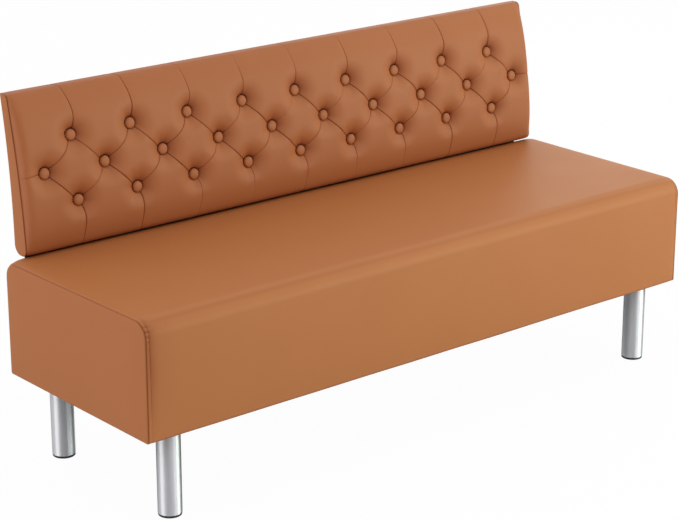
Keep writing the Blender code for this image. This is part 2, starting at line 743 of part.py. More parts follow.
def add_bolt(bracket, place, tip, held):
    """A bolt on the bracket's rear, with a hole for it through each piece that it holds."""
    head, shank = BOLT_HEAD_DIAMETER / 2, BOLT_DIAMETER / 2
    under = -BRACKET_THICKNESS / 4
    length = tip - place[1]
    profile = [
        (0.0, BOLT_HEAD_HEIGHT),
        (head * 0.6, BOLT_HEAD_HEIGHT),
        (head, BOLT_HEAD_HEIGHT * 0.35),
        (head, under),
        (shank, under),
        (shank, length),
        (0.0, length),
    ]
    label = f"{bracket.name}_at_{place[2] * 1000:.0f}"
    bolt = add_cutter(f"bolt_{label}", profile_mesh(f"bolt_{label}", profile))
    bolt.location = place
    bolt.rotation_euler.x = -math.pi / 2
    turn(bolt, BOLT_STEPS)
    combine(bracket, bolt, "UNION")
    beyond = (place[0], tip - CUTTER_OVERRUN, place[2])
    drill = add_drill(f"drill_{label}", place, beyond, shank + THREAD_CLEARANCE, BOLT_STEPS)
    for name in held:
        cut(bpy.data.objects[name], drill)


def centre_on_floor():
    """Moves the bench so that the origin is on the floor, under the middle of its overall box."""
    bpy.context.view_layer.update()
    graph = bpy.context.evaluated_depsgraph_get()
    corners = []
    for part in PARTS.objects:
        shape = part.evaluated_get(graph)
        corners += [shape.matrix_world @ Vector(corner) for corner in shape.bound_box]
    low = Vector(min(corner[axis] for corner in corners) for axis in range(3))
    high = Vector(max(corner[axis] for corner in corners) for axis in range(3))
    BENCH.location = -Vector(((low.x + high.x) / 2, (low.y + high.y) / 2, low.z))
    print("overall size", [round(side, 4) for side in high - low])
    print("moved by", [round(step, 5) for step in BENCH.location])


clear_scene()
PARTS = make_collection("waiting_room_bench")
CUTTERS = make_collection("cutters")
BENCH = bpy.data.objects.new("bench", None)
bpy.context.scene.collection.objects.link(BENCH)
BUTTONS = button_rows()
PLEATS = pleat_lines(BUTTONS)
SEAT_BOLTED = ("seat_cover", "seat_foam", "rear_rail")
BACK_BOLTED = ("back_rear_panel", "back_board")

tan_leather = make_material("tan_leather", (0.434, 0.162, 0.061), 0.45)
grey_foam = make_material("foam", (0.80, 0.76, 0.62), 0.95)
pine = make_material("timber", (0.62, 0.44, 0.25), 0.65)
black_cloth = make_material("dust_cover_cloth", (0.02, 0.02, 0.02), 0.95)
polished_steel = make_material("polished_steel", (0.72, 0.72, 0.74), 0.12, 1.0)
black_plastic = make_material("black_plastic", (0.012, 0.012, 0.012), 0.5)
painted_steel = make_material("painted_steel", (0.02, 0.02, 0.022), 0.4, 0.6)

add_seat_cover(tan_leather)
add_end_panels("seat_end_panel", seat_section(), SEAT_LENGTH / 2, tan_leather)
add_seat_padding(grey_foam)
add_frame(pine)
add_dust_cover(black_cloth)
add_legs(polished_steel)
add_glides(black_plastic)
add_back_cover(tan_leather)
add_end_panels("back_end_panel", back_section() + rear_section()[1:-1], BACK_LENGTH / 2, tan_leather)
add_back_core(pine, grey_foam, tan_leather)
add_buttons(tan_leather)
add_brackets(painted_steel)
add_cross_bar(painted_steel)
centre_on_floor()
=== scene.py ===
# %% [markdown]
# # A waiting room bench, dressed piece by piece
# The bench is a long box seat and a leaning, buttoned back, both upholstered in tan leather cloth, on four
# polished tube legs. Its solids come from a CAD model and stay fixed here. Each step below makes one
# visible piece over them: a finer mesh, and a finish that is built from shader nodes. All lengths are in
# metres.

# %% Load the fixed frame
import bisect
import math
import random

import bmesh
import bpy
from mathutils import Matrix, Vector, kdtree, noise


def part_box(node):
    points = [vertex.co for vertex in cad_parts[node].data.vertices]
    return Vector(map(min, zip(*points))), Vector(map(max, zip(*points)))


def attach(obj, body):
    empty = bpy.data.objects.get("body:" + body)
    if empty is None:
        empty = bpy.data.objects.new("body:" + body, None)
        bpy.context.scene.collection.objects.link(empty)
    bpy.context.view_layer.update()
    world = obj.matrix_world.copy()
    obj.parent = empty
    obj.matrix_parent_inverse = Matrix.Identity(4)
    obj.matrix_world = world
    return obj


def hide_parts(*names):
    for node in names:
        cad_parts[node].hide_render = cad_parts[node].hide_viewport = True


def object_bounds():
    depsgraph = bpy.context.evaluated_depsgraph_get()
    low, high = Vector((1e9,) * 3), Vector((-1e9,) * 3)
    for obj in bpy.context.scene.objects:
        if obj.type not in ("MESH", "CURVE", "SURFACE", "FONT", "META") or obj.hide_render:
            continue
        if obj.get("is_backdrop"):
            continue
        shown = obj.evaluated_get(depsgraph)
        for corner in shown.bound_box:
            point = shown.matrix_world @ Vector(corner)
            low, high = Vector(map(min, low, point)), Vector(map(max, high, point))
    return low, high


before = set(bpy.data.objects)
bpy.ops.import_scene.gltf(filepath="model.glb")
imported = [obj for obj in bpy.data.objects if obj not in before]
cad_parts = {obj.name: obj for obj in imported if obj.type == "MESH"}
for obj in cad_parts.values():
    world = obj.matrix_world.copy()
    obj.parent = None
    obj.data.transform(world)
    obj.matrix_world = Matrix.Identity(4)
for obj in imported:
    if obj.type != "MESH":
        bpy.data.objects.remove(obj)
cad_low, cad_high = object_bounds()

# %% [markdown]
# ## The sizes that the pieces share
# An upholsterer works from a few numbers: the box, the roundings of its edges and the lean of the back.
# They are those of the CAD source, where the seat's front lies at y = 0, with two finer touches: the seam
# makes the back's upper edge sharper, and the seat's crown runs on closer to its ends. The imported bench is
# centred on its own box, so a leg tells how far each piece has to move.

# %% Seat, back and button sizes
SEAT_LENGTH, SEAT_DEPTH, SEAT_BOTTOM, SEAT_TOP = 1.530, 0.499, 0.188, 0.436
SEAT_FRONT_RADIUS, SEAT_REAR_RADIUS, SEAT_BOTTOM_RADIUS = 0.034, 0.030, 0.004
SEAT_TOP_CROWN, SEAT_EDGE_CROWN, SEAT_REAR_CROWN, SEAT_FRONT_CROWN = 0.006, 0.005, 0.0044, 0.004
CROWN_SPREAD = 56
HEM_WIDTH, LEATHER, SEWING_GAP = 0.020, 0.002, 0.0004

BACK_LENGTH, BACK_BOTTOM, BACK_TOP = 1.470, 0.446, 0.784
BACK_REAR_BOTTOM, BACK_LEAN, BACK_BOW = 0.509, math.radians(5.0), 0.008
BACK_BOTTOM_THICKNESS, BACK_TOP_THICKNESS = 0.044, 0.023
BACK_TOP_RADIUS, BACK_TOE_RADIUS, BACK_HEEL_RADIUS = 0.012, 0.015, 0.022

BUTTON_PITCH, BUTTON_ROW_SPACING, MIDDLE_BUTTONS = 0.150, 0.068, 10
BUTTON_RADIUS, BUTTON_HEIGHT = 0.01225, 0.008
LEG_INSET_FRONT = 0.049

leg_low, leg_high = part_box("leg_front_left")
BENCH_SHIFT = Vector((0, (leg_low.y + leg_high.y) / 2 - LEG_INSET_FRONT, 0))
print("pieces are drawn from the seat's front and then moved by", round(BENCH_SHIFT.y, 5))

# %% [markdown]
# ## Camera
# A product photograph is taken with a long lens from some way off, so that upright edges stay nearly
# upright. The camera stands to the bench's front left, a little above the back, where the photographed
# edges line up with those of the model.

# %% Camera at the photograph's viewpoint
eye = bpy.data.objects.new("camera", bpy.data.cameras.new("camera"))
eye.data.sensor_width = 36.0
eye.data.lens = 112.52
eye.data.clip_end = 100.0
eye.location = (-2.9288, -3.4094, 1.8329)
eye.rotation_euler = (math.radians(71.572), 0.0, math.radians(-40.153))
bpy.context.scene.collection.objects.link(eye)
bpy.context.scene.camera = eye
print("camera", tuple(round(x, 3) for x in eye.location), "lens", eye.data.lens, "mm")

# %% [markdown]
# ## Shader sums in plain Python
# A finish is a small calculation over the surface. Wiring its nodes one by one hides the idea, so one class
# wraps a socket and lets Python's own signs add the Math nodes.


# %% The socket wrapper
class Wire:
    """A shader socket that can be added, multiplied and so on; each sign adds one Math node."""

    def __init__(self, finish, socket):
        self.finish, self.socket = finish, socket

    def _sum(self, operation, first, second):
        return self.finish.node("ShaderNodeMath", {0: first, 1: second}, operation=operation)

    def __add__(self, other):
        return self._sum("ADD", self, other)

    def __sub__(self, other):
        return self._sum("SUBTRACT", self, other)

    def __rsub__(self, other):
        return self._sum("SUBTRACT", other, self)

    def __mul__(self, other):
        return self._sum("MULTIPLY", self, other)

    def at_most(self, other):
        return self._sum("MINIMUM", self, other)

    __radd__, __rmul__ = __add__, __mul__


print("a socket can be added, subtracted and multiplied")

# %% [markdown]
# Every other node comes from `Finish.node`, which makes the node's choices first and then feeds its
# sockets, by value or by link. A few short methods add the kinds that the bench needs.


# %% The finish
class Finish:
    """A material, or the world, whose nodes are added by method calls."""

    def __init__(self, name, owner=None):
        self.block = owner or bpy.data.materials.new(name)
        self.block.use_nodes = True
        self.nodes, self.links = self.block.node_tree.nodes, self.block.node_tree.links

    def node(self, kind, sockets=None, output=0, **choices):
        made = self.nodes.new(kind)
        for key, value in choices.items():
            setattr(made, key, value)
        for key, value in (sockets or {}).items():
            self.feed(made.inputs[key], value)
        return Wire(self, made.outputs[output])

    def feed(self, socket, value):
        if isinstance(value, Wire):
            self.links.new(value.socket, socket)
        else:
            socket.default_value = value

    def surface(self, **sockets):
        shader = self.nodes["Principled BSDF"]
        for key, value in sockets.items():
            self.feed(shader.inputs[key.replace("_", " ")], value)
        return self.block

    def place(self):
        return self.node("ShaderNodeTexCoord", output="Object")

    def noise(self, scale, detail=4.0, roughness=0.5, stretch=(1, 1, 1)):
        spot = self.node("ShaderNodeMapping", {"Vector": self.place(), "Scale": stretch})
        sockets = {"Vector": spot, "Scale": scale, "Detail": detail, "Roughness": roughness}
        return self.node("ShaderNodeTexNoise", sockets)

    def cells(self, scale):
        return self.node("ShaderNodeTexVoronoi", {"Vector": self.place(), "Scale": scale})

    def between(self, share, first, second):
        """A colour between two colours."""
        return self.node("ShaderNodeMix", {0: share, 6: first, 7: second}, output=2, data_type="RGBA")

    def bump(self, height, depth, strength=1.0):
        return self.node("ShaderNodeBump", {"Height": height, "Distance": depth, "Strength": strength})


print("shader helpers ready for", bpy.app.version_string)

# %% [markdown]
# ## Tan leather cloth
# The cover is a coated upholstery cloth with a fine pebbled grain and a soft sheen. Its colour is nearly
# even: a slow mottle lightens and darkens it a little, the grain's valleys are slightly deeper in tone, and
# the pebbles' tops are a touch smoother. The pattern sits in object space, at its real size, so it runs on
# from panel to panel as if they were cut from one hide. The tufted cover and the end panels get darker
# copies of the same leather, with shade painted into them for how dimly they are lit. Each mesh also keeps
# an attribute of painted shade for its seams, pleats, hollows and crevices. It pulls the colour towards a
# reddish brown and, where it is deepest, towards near black.


# %% Leather finish
GRAIN_PER_METRE, GRAIN_DEPTH, MOTTLE_PER_METRE = 750.0, 0.00018, 7.0
TAN_LIGHT, TAN_DEEP = (0.462, 0.162, 0.051, 1), (0.432, 0.149, 0.0455, 1)
# Darker copies of the tan, with painted shade for the more dimly lit back and end panels.
BACK_SHADED_LIGHT, BACK_SHADED_DEEP = (0.412, 0.132, 0.0455, 1), (0.384, 0.121, 0.0405, 1)
END_SHADED_LIGHT, END_SHADED_DEEP = (0.408, 0.135, 0.0390, 1), (0.381, 0.123, 0.0350, 1)
# Colours of the painted shade: a reddish brown, and near black where it is deepest.
TAN_SHADE, TAN_DARK = (0.25, 0.05, 0.015, 1), (0.030, 0.008, 0.003, 1)


def leather_finish(name, light, deep):
    finish = Finish(name)
    pebbles = finish.cells(GRAIN_PER_METRE)
    wrinkle = finish.noise(GRAIN_PER_METRE / 3, detail=3.0)
    mottle = finish.noise(MOTTLE_PER_METRE, detail=5.0)
    grain = pebbles * 0.7 + wrinkle * 0.5
    share = (mottle * 0.8 + pebbles * 0.25).at_most(1.0)
    # Each mesh's painted shade darkens the tan, first towards the reddish brown and then towards near black.
    painted_shade = finish.node("ShaderNodeAttribute", output="Fac", attribute_name="painted_shade")
    shaded = finish.between(painted_shade * 1.25, finish.between(share, light, deep), TAN_SHADE)
    return finish.surface(
        Base_Color=finish.between(painted_shade * 2.5 - 1.5, shaded, TAN_DARK),
        Roughness=0.44 + pebbles * 0.10 + mottle * 0.06,
        Specular_IOR_Level=0.27,
        Normal=finish.bump(1.0 - grain, GRAIN_DEPTH, 0.5),
    )


leather = leather_finish("tan_leather_cloth", TAN_LIGHT, TAN_DEEP)
# Shaded copies of the leather: one for the tufted cover and its buttons, one for the end panels.
shaded_back_leather = leather_finish("tan_leather_shaded_back", BACK_SHADED_LIGHT, BACK_SHADED_DEEP)
shaded_end_leather = leather_finish("tan_leather_shaded_ends", END_SHADED_LIGHT, END_SHADED_DEEP)
print("leather grain:", round(1000 / GRAIN_PER_METRE, 2), "mm pebbles")

# %% [markdown]
# ## Metal, plastic, cloth, timber and foam
# The legs are chromed tube with fine polishing marks that run round them; those marks smear reflections up
# and down, which gives chrome tube its upright light and dark bands. The glides are moulded plastic, the
# bars behind the back are powder coated, and the inner pieces are sawn timber, plywood, foam and a black
# felted cloth. Each has its own small pattern, so none is a flat colour.


# %% Finishes of the hard and hidden pieces
def patterned(name, scale, detail, first, second, roughness, spread, relief=None, **fixed):
    """A fine noise, or cells where it has no detail, picks the tone and varies roughness and relief."""
    finish = Finish(name)
    share = finish.noise(scale, detail) if detail else finish.cells(scale)
    if relief:
        fixed["Normal"] = finish.bump(share, *relief)
    tone = finish.between(share, first, second)
    return finish.surface(Base_Color=tone, Roughness=roughness + share * spread, **fixed)


def polished_steel():
    finish = Finish("polished_steel")
    marks = finish.noise(260.0, detail=2.0, stretch=(0.05, 0.05, 6.0))
    smudge = finish.noise(30.0, detail=3.0)
    return finish.surface(
        Base_Color=finish.between(smudge, (0.90, 0.91, 0.95, 1), (0.84, 0.85, 0.89, 1)),
        Metallic=1.0,
        Specular_Tint=(0.12, 0.12, 0.13, 1),
        Roughness=0.50 + marks * 0.06,
        Anisotropic=1.0,
        Anisotropic_Rotation=0.25,
    )


def felted_cloth():
    finish = Finish("black_felted_cloth")
    fibres = finish.noise(1500.0, detail=4.0, roughness=0.7)
    return finish.surface(
        Base_Color=finish.between(fibres, (0.008, 0.008, 0.009, 1), (0.034, 0.034, 0.036, 1)),
        Roughness=0.85 + fibres * 0.1,
        Normal=finish.bump(fibres * 0.6 + finish.cells(420.0) * 0.5, 0.0003, 0.7),
    )


def sawn_timber(name, light, dark, stretch):
    finish = Finish(name)
    rings = finish.noise(26.0, detail=6.0, roughness=0.6, stretch=stretch)
    pores = finish.noise(420.0, detail=2.0, stretch=stretch)
    return finish.surface(
        Base_Color=finish.between((rings * 1.2 - 0.1) * (0.8 + pores * 0.3), light, dark),
        Roughness=0.62 + pores * 0.2,
        Normal=finish.bump(pores, 0.0003, 0.5),
    )


chrome, cloth = polished_steel(), felted_cloth()
plastic = patterned("black_plastic", 2600.0, 2.0,
                    (0.010, 0.010, 0.011, 1), (0.024, 0.024, 0.026, 1), 0.42, 0.2, (0.00006, 0.6))
painted_steel = patterned("powder_coated_steel", 700.0, 2.0,
                          (0.007, 0.007, 0.007, 1), (0.014, 0.013, 0.013, 1), 0.55, 0.15, (0.00010, 0.5))
zinc = patterned("zinc_plated_bolts", 900.0, 3.0,
                 (0.60, 0.61, 0.62, 1), (0.42, 0.43, 0.45, 1), 0.28, 0.2, Metallic=1.0)
foam = patterned("open_cell_foam", 700.0, None,
                 (0.78, 0.70, 0.50, 1), (0.62, 0.53, 0.34, 1), 0.9, 0.05, (0.0006, 0.8))
timber = sawn_timber("sawn_timber", (0.62, 0.42, 0.22, 1), (0.36, 0.20, 0.09, 1), (0.06, 1, 1))
plywood = sawn_timber("birch_plywood", (0.68, 0.50, 0.30, 1), (0.48, 0.31, 0.16, 1), (0.10, 1, 1))
print("finishes:", sorted(m.name for m in bpy.data.materials if m.users == 0))

# %% [markdown]
# ## From a mesh in hand to a piece of the bench
# Every piece ends in the same way. Its mesh moves from the drawing's place to the bench's, its faces are
# shaded smooth up to a limiting angle, it gets its finish, it is hung under an empty for the CAD body that
# carries it, and the solids it stands for are hidden. Three small curves serve all over: a limit from 0 to
# 1, a bell and a fading reach.


# %% Finishing a piece
def make_piece(name, bm, material, stands_for, body="bench", sharp_above=40.0, moved=True):
    if moved:
        bmesh.ops.translate(bm, vec=BENCH_SHIFT, verts=bm.verts)
    mesh = bpy.data.meshes.new(name)
    bm.to_mesh(mesh)
    bm.free()
    mesh.shade_smooth()
    mesh.set_sharp_from_angle(angle=math.radians(sharp_above))
    mesh.materials.append(material)
    piece = bpy.data.objects.new(name, mesh)
    bpy.context.scene.collection.objects.link(piece)
    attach(piece, body)
    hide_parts(*stands_for)
    return piece


def add_thickness(piece, thickness, rim_only=False):
    shell = piece.modifiers.new("thickness", "SOLIDIFY")
    shell.thickness, shell.offset = thickness, -1.0
    shell.use_even_offset = not rim_only
    shell.use_rim_only = rim_only


def clamped(value):
    return max(0.0, min(1.0, value))


def bell(distance, half):
    return math.exp(-(distance / half) ** 2)


def fading(distance, reach, power=2):
    return max(0.0, 1 - distance / reach) ** power


def clustered(count, power=1.8):
    """Shares from 0 to 1 that lie closer together at both ends."""
    sides = [2 * i / count - 1 for i in range(count + 1)]
    return [0.5 + 0.5 * math.copysign(1 - (1 - abs(side)) ** power, side) for side in sides]


print("clustered shares, for example:", [round(x, 3) for x in clustered(8)])

# %% [markdown]
# ## Outlines as lengths of leather
# A sheet of leather is cut flat and then bent round an edge. It is easiest to think of its place on the
# outline as a length along the cut. `Outline` takes the corners of a cross-section and says where such a
# length ends up, and which way is outwards there.


# %% Arcs and outlines
class Outline:
    """A line of (y, z) points, measured along its length; outwards is to the left of its direction."""

    def __init__(self, points):
        self.points = [Vector(p) for p in points]
        self.lengths = [0.0]
        for a, b in zip(self.points, self.points[1:]):
            self.lengths.append(self.lengths[-1] + (b - a).length)
        self.total = self.lengths[-1]
        self.shares = [length / self.total for length in self.lengths]
        self.outwards = []
        last = len(self.points) - 1
        for i in range(last + 1):
            step = self.points[min(i + 1, last)] - self.points[max(i - 1, 0)]
            self.outwards.append(Vector((-step.y, step.x)).normalized())

    def at(self, length):
        high = min(max(1, bisect.bisect_right(self.lengths, length)), len(self.lengths) - 1)
        low = high - 1
        share = clamped((length - self.lengths[low]) / (self.lengths[high] - self.lengths[low]))
        out = self.outwards[low].lerp(self.outwards[high], share)
        return self.points[low].lerp(self.points[high], share), out.normalized()

    def length_at_height(self, height, start, end):
        """The length between start and end at which a rising outline reaches a height."""
        for _ in range(40):
            middle = (start + end) / 2
            start, end = (middle, end) if self.at(middle)[0].y < height else (start, middle)
        return (start + end) / 2


def arc(centre, radius, first_deg, last_deg, steps=14):
    turns = [math.radians(first_deg + (last_deg - first_deg) * i / steps) for i in range(steps + 1)]
    return [(centre[0] + radius * math.cos(a), centre[1] + radius * math.sin(a)) for a in turns]


def line(start, end, steps):
    """The points between two ends, without the ends."""
    return [tuple(a + (b - a) * i / steps for a, b in zip(start, end)) for i in range(1, steps)]


nose_round = Outline(arc((0, 0), SEAT_FRONT_RADIUS, 180, 90))
print("the seat's front edge takes", round(nose_round.total * 1000, 1), "mm of leather")

# %% [markdown]
# ## The seat's outline
# The wrap starts as a hem under the front rail, goes up the front, over the soft front edge and the top,
# down the rear and under again. The foam crowns the top and pushes the front out a little. At each end the
# wrap is sewn to a flat panel: it sinks into the seam, and the seam's turned-under edge shows as a narrow
# raised band, with a row of stitches beside it.


# %% Seat outline, crown and seam
def seat_corners():
    foot, nose, heel = SEAT_BOTTOM_RADIUS, SEAT_FRONT_RADIUS, SEAT_REAR_RADIUS
    front_foot = arc((foot, SEAT_BOTTOM + foot), foot, 270, 180, 6)
    front_top = arc((nose, SEAT_TOP - nose), nose, 180, 90, 28)
    rear_top = arc((SEAT_DEPTH - heel, SEAT_TOP - heel), heel, 90, 0, 10)
    rear_foot = arc((SEAT_DEPTH - foot, SEAT_BOTTOM + foot), foot, 0, -90, 6)
    front = line(front_foot[-1], front_top[0], 64)
    top = line(front_top[-1], rear_top[0], 60)
    rear = line(rear_top[-1], rear_foot[0], 12)
    return front_foot + front + front_top + top + rear_top + rear + rear_foot


def seat_crown(point):
    along = 1 - abs(2 * point.x / SEAT_LENGTH) ** CROWN_SPREAD
    up = (point.z - SEAT_BOTTOM) / (SEAT_TOP - SEAT_BOTTOM)
    back = point.y / SEAT_DEPTH
    lift = SEAT_EDGE_CROWN + (SEAT_TOP_CROWN - SEAT_EDGE_CROWN) * (1 - (2 * back - 1) ** 2)
    lift += SEAT_REAR_CROWN * max(0.0, back) ** 3
    push = SEAT_FRONT_CROWN * (1 - back) * (1 - (2 * up - 1) ** 2)
    return point + Vector((0, -push * along, lift * up * along))


# Shade is painted into the seam's groove and along the row of stitches beside it.
SEAM_SINK, SEAM_ROLL, SEAM_SHADE, SEAM_HALF = 0.0026, 0.0010, 0.64, 0.0012
BAND_RISE, BAND_AT, BAND_HALF = 0.0007, 0.0027, 0.0014
STITCH_SINK, STITCH_AT, STITCH_HALF, STITCH_SHADE = 0.0010, 0.0088, 0.0011, 0.55
PULL_SINK, PULL_REACH = 0.0008, 0.020
SEAM_STEPS = [x / 1000 for x in (0, 0.3, 0.6, 1.0, 1.5, 2.1, 2.7, 3.5, 4.5, 5.7, 6.8, 7.5,
                                 8.0, 8.4, 8.8, 9.2, 9.7, 10.5, 12, 14, 17, 20, 24, 30)]


def seam_sink(distance, stitched=0.3):
    """How far a sewn sheet lies below its plain surface, at a distance from the seam."""
    rolled = SEAM_SINK * math.exp(-distance / SEAM_ROLL) - BAND_RISE * bell(distance - BAND_AT, BAND_HALF)
    pierced = STITCH_SINK * stitched * bell(distance - STITCH_AT, STITCH_HALF)
    return rolled + pierced + PULL_SINK * fading(distance, PULL_REACH)


def seam_shade(distance, stitched=0.3):
    """How much shade is painted in a sheet's seam and along the row of stitches beside it, from 0 to 1."""
    pierced = STITCH_SHADE * stitched * bell(distance - STITCH_AT, STITCH_HALF)
    return SEAM_SHADE * bell(distance, SEAM_HALF) + pierced


seat_outline = Outline([(HEM_WIDTH, SEAT_BOTTOM)] + seat_corners() + [(SEAT_DEPTH - HEM_WIDTH, SEAT_BOTTOM)])
print("the seat's wrap is cut", round(seat_outline.total, 3), "m wide; its seam sinks",
      round(seam_sink(0.0) * 1000, 2), "mm")

# %% [markdown]
# ## Where the seat's leather gathers
# Foam under leather is never quite flat, so a slow noise moves the sheet by a fraction of a millimetre. Up
# the front and round the nose the end seam draws the leather in, more at the left end than at the right:
# beside the stitches lies a shallow valley, and short puckers cross it at the corner.

# %% Gathers of the seat
WAVE_DEPTH, WAVE_SIZE, WAVE_START = 0.0007, 5.0, 0.05
STITCH_LEAST, STITCH_RISE = 0.15, 1.5
PUCKER_DEPTH, PUCKER_PITCH, PUCKER_REACH = 0.0019, 0.011, 0.026
PUCKER_ABOVE, PUCKER_SPAN, PUCKER_START, PUCKER_SLANT = 0.012, 0.034, 0.002, 0.3
DRAW_DEPTH, DRAW_REACH, DRAW_RISE, DRAW_END, BAND_EDGE = 0.0044, 0.016, 0.15, 0.04, 0.0009
RIGHT_END_SHARE = 0.15
seat_half = SEAT_LENGTH / 2 - LEATHER - SEWING_GAP
nose_start = HEM_WIDTH + SEAT_TOP - SEAT_BOTTOM - SEAT_FRONT_RADIUS
nose_end = nose_start + SEAT_FRONT_RADIUS * math.pi / 2


def tightness(x):
    """The left end's seam is drawn tighter than the right end's."""
    return 1.0 if x < 0 else RIGHT_END_SHARE


def stitches_show(x, length):
    """The stitches show best where the wrap turns over the nose; they fade down the front and on the top."""
    up_front = clamped((length - HEM_WIDTH) / (nose_start - HEM_WIDTH)) ** STITCH_RISE
    at_nose = up_front * clamped((nose_end - length) / (nose_end - nose_start))
    return tightness(x) * (STITCH_LEAST + (1 - STITCH_LEAST) * at_nose)


def pucker(from_seam, length):
    """The gathers beside the seam at the front corner, from -1 in a fold to 1 on a ridge."""
    near = clamped(1 - abs(length - nose_start - PUCKER_ABOVE) / PUCKER_SPAN)
    near *= clamped(from_seam / PUCKER_START)
    wave = math.sin(2 * math.pi * (length + PUCKER_SLANT * from_seam) / PUCKER_PITCH)
    return near * fading(from_seam, PUCKER_REACH) * wave


def drawn_in(from_seam, length, band_edge):
    """The valley beside the stitches, from 0 to 1: steep at the stitches, then a slow rise."""
    up_front = clamped((length - HEM_WIDTH) / DRAW_RISE) * clamped((nose_end - length) / DRAW_END)
    past = from_seam - STITCH_AT
    return up_front * (math.exp(-past / DRAW_REACH) if past > 0 else bell(past, band_edge))


def seat_point(x, length):
    (y, z), out = seat_outline.at(length)
    from_seam = seat_half - abs(x)
    wave = WAVE_DEPTH * noise.noise(Vector((x, length, 0.3)) * WAVE_SIZE)
    gathers = PUCKER_DEPTH * pucker(from_seam, length) - DRAW_DEPTH * drawn_in(from_seam, length, BAND_EDGE)
    lift = wave * clamped(from_seam / WAVE_START) + tightness(x) * gathers
    lift -= seam_sink(from_seam, stitches_show(x, length))
    return seat_crown(Vector((x, y, z))) + Vector((0, out.x, out.y)) * lift


print("the nose's leather lies from", round(nose_start, 3), "to", round(nose_end, 3), "m along the cut")

# %% [markdown]
# Shade is painted into the seat's leather: in its seams and stitches, in the puckers and the valley beside
# the stitches, along the hem, in the crevice below the back, in a line along the nose, and over the top's
# rear part near the back. Each point takes the strongest of these.

# %% Painted shade of the seat
HEM_SHADE, HEM_INSIDE, HEM_HALF = 0.6, 0.001, 0.0025
CREVICE_SHADE, CREVICE_FADE, CREVICE_INSIDE, CREVICE_END = 0.85, 0.010, 0.012, 0.010
NOSE_SHADE, NOSE_HALF, NOSE_TURN = 0.16, 0.0055, math.radians(51)
UNDER_BACK_SHADE, UNDER_BACK_FADE = 0.13, 0.090
PUCKER_SHADE, DRAW_SHADE, BAND_SHADE_REACH = 0.6, 0.32, 3 * STITCH_AT
nose_line = nose_start + SEAT_FRONT_RADIUS * NOSE_TURN
crevice_start = nose_end + BACK_REAR_BOTTOM - BACK_BOTTOM_THICKNESS - SEAT_FRONT_RADIUS
rear_edge = nose_end + SEAT_DEPTH - SEAT_FRONT_RADIUS - SEAT_REAR_RADIUS


def seat_shade(x, length):
    from_seam = seat_half - abs(x)
    # Painted shade along the hem at the lower edges.
    hem = HEM_SHADE * bell(min(length, seat_outline.total - length) - HEM_WIDTH + HEM_INSIDE, HEM_HALF)
    # Painted shade in the crevice below the back.
    inwards = min(0.0, length - crevice_start - CREVICE_INSIDE, rear_edge - length)
    crevice = CREVICE_SHADE * math.exp(inwards / CREVICE_FADE)
    crevice *= clamped((BACK_LENGTH / 2 - abs(x)) / CREVICE_END)
    # Painted shade in the puckers, and over the valley beside the stitches and the band before it.
    gathers = PUCKER_SHADE * max(0.0, -pucker(from_seam, length))
    gathers += DRAW_SHADE * drawn_in(from_seam, length, BAND_SHADE_REACH)
    # A painted shade line along the nose.
    nose = NOSE_SHADE * bell(length - nose_line, NOSE_HALF)
    # Painted shade over the top's rear part, deepening towards the back and full under it.
    under_back_shade = UNDER_BACK_SHADE * math.exp(min(0.0, length - crevice_start, rear_edge - length) / UNDER_BACK_FADE)
    seam = seam_shade(from_seam, stitches_show(x, length))
    return max(seam, hem, crevice, gathers * tightness(x), nose, under_back_shade)


print("the crevice's leather starts", round(crevice_start, 3), "m along the cut")

# %% [markdown]
# ## The seat's leather wrap
# One grid of faces is bent round the outline. Its columns are closer together towards the ends, where the
# seam needs them, and its rows lie where the outline has its corners.


# %% Seat wrap
def sewn_columns(half, spacing=0.045):
    """Places along x from -half to half: the seam's steps at both ends, and an even spacing between."""
    reach = half - SEAM_STEPS[-1]
    count = round(2 * reach / spacing)
    ends = [half - step for step in SEAM_STEPS[:-1]]
    return [-x for x in ends] + [reach * (2 * i / count - 1) for i in range(count + 1)] + ends[::-1]


def grid_vertices(bm, across, up):
    """Adds a grid, and gives each vertex with the places of its two lines."""
    columns, rows = len(across) - 1, len(up) - 1
    for vertex in bmesh.ops.create_grid(bm, x_segments=columns, y_segments=rows, size=1.0)["verts"]:
        x, y, _ = vertex.co
        yield vertex, across[round((x + 1) / 2 * columns)], up[round((y + 1) / 2 * rows)]


def bent_sheet(outline, columns, shape, shade):
    """A grid with columns along x and rows along an outline; shape places a point and shade darkens it."""
    bm = bmesh.new()
    painted_shade = bm.verts.layers.float.new("painted_shade")
    for vertex, x, share in grid_vertices(bm, columns, outline.shares):
        length = outline.total * share
        vertex.co, vertex[painted_shade] = shape(x, length), shade(x, length)
    return bm


bm = bent_sheet(seat_outline, sewn_columns(seat_half), seat_point, seat_shade)
seat_wrap = make_piece("seat_leather_wrap", bm, leather, ["seat_cover"])
add_thickness(seat_wrap, LEATHER)
print(seat_wrap.name, len(seat_wrap.data.polygons), "faces")

# %% [markdown]
# ## The seat's end panels
# Each end of the seat is a flat panel with the box's outline. It is sewn to the wrap all round, and the
# foam behind it makes it a very shallow pillow. It starts as one face with the outline's corners; ring
# after ring is inset from its edge, and each ring stands out a little further.

# %% End panels from inset rings
PANEL_LAP, PANEL_LEATHER, PANEL_HALF = 0.0002, LEATHER * 0.6, 0.0011
PILLOW, PILLOW_REACH, PILLOW_ROLL, ROLL_SHARE, SWELL_POWER = 0.0022, 0.080, 0.0010, 0.38, 2.2


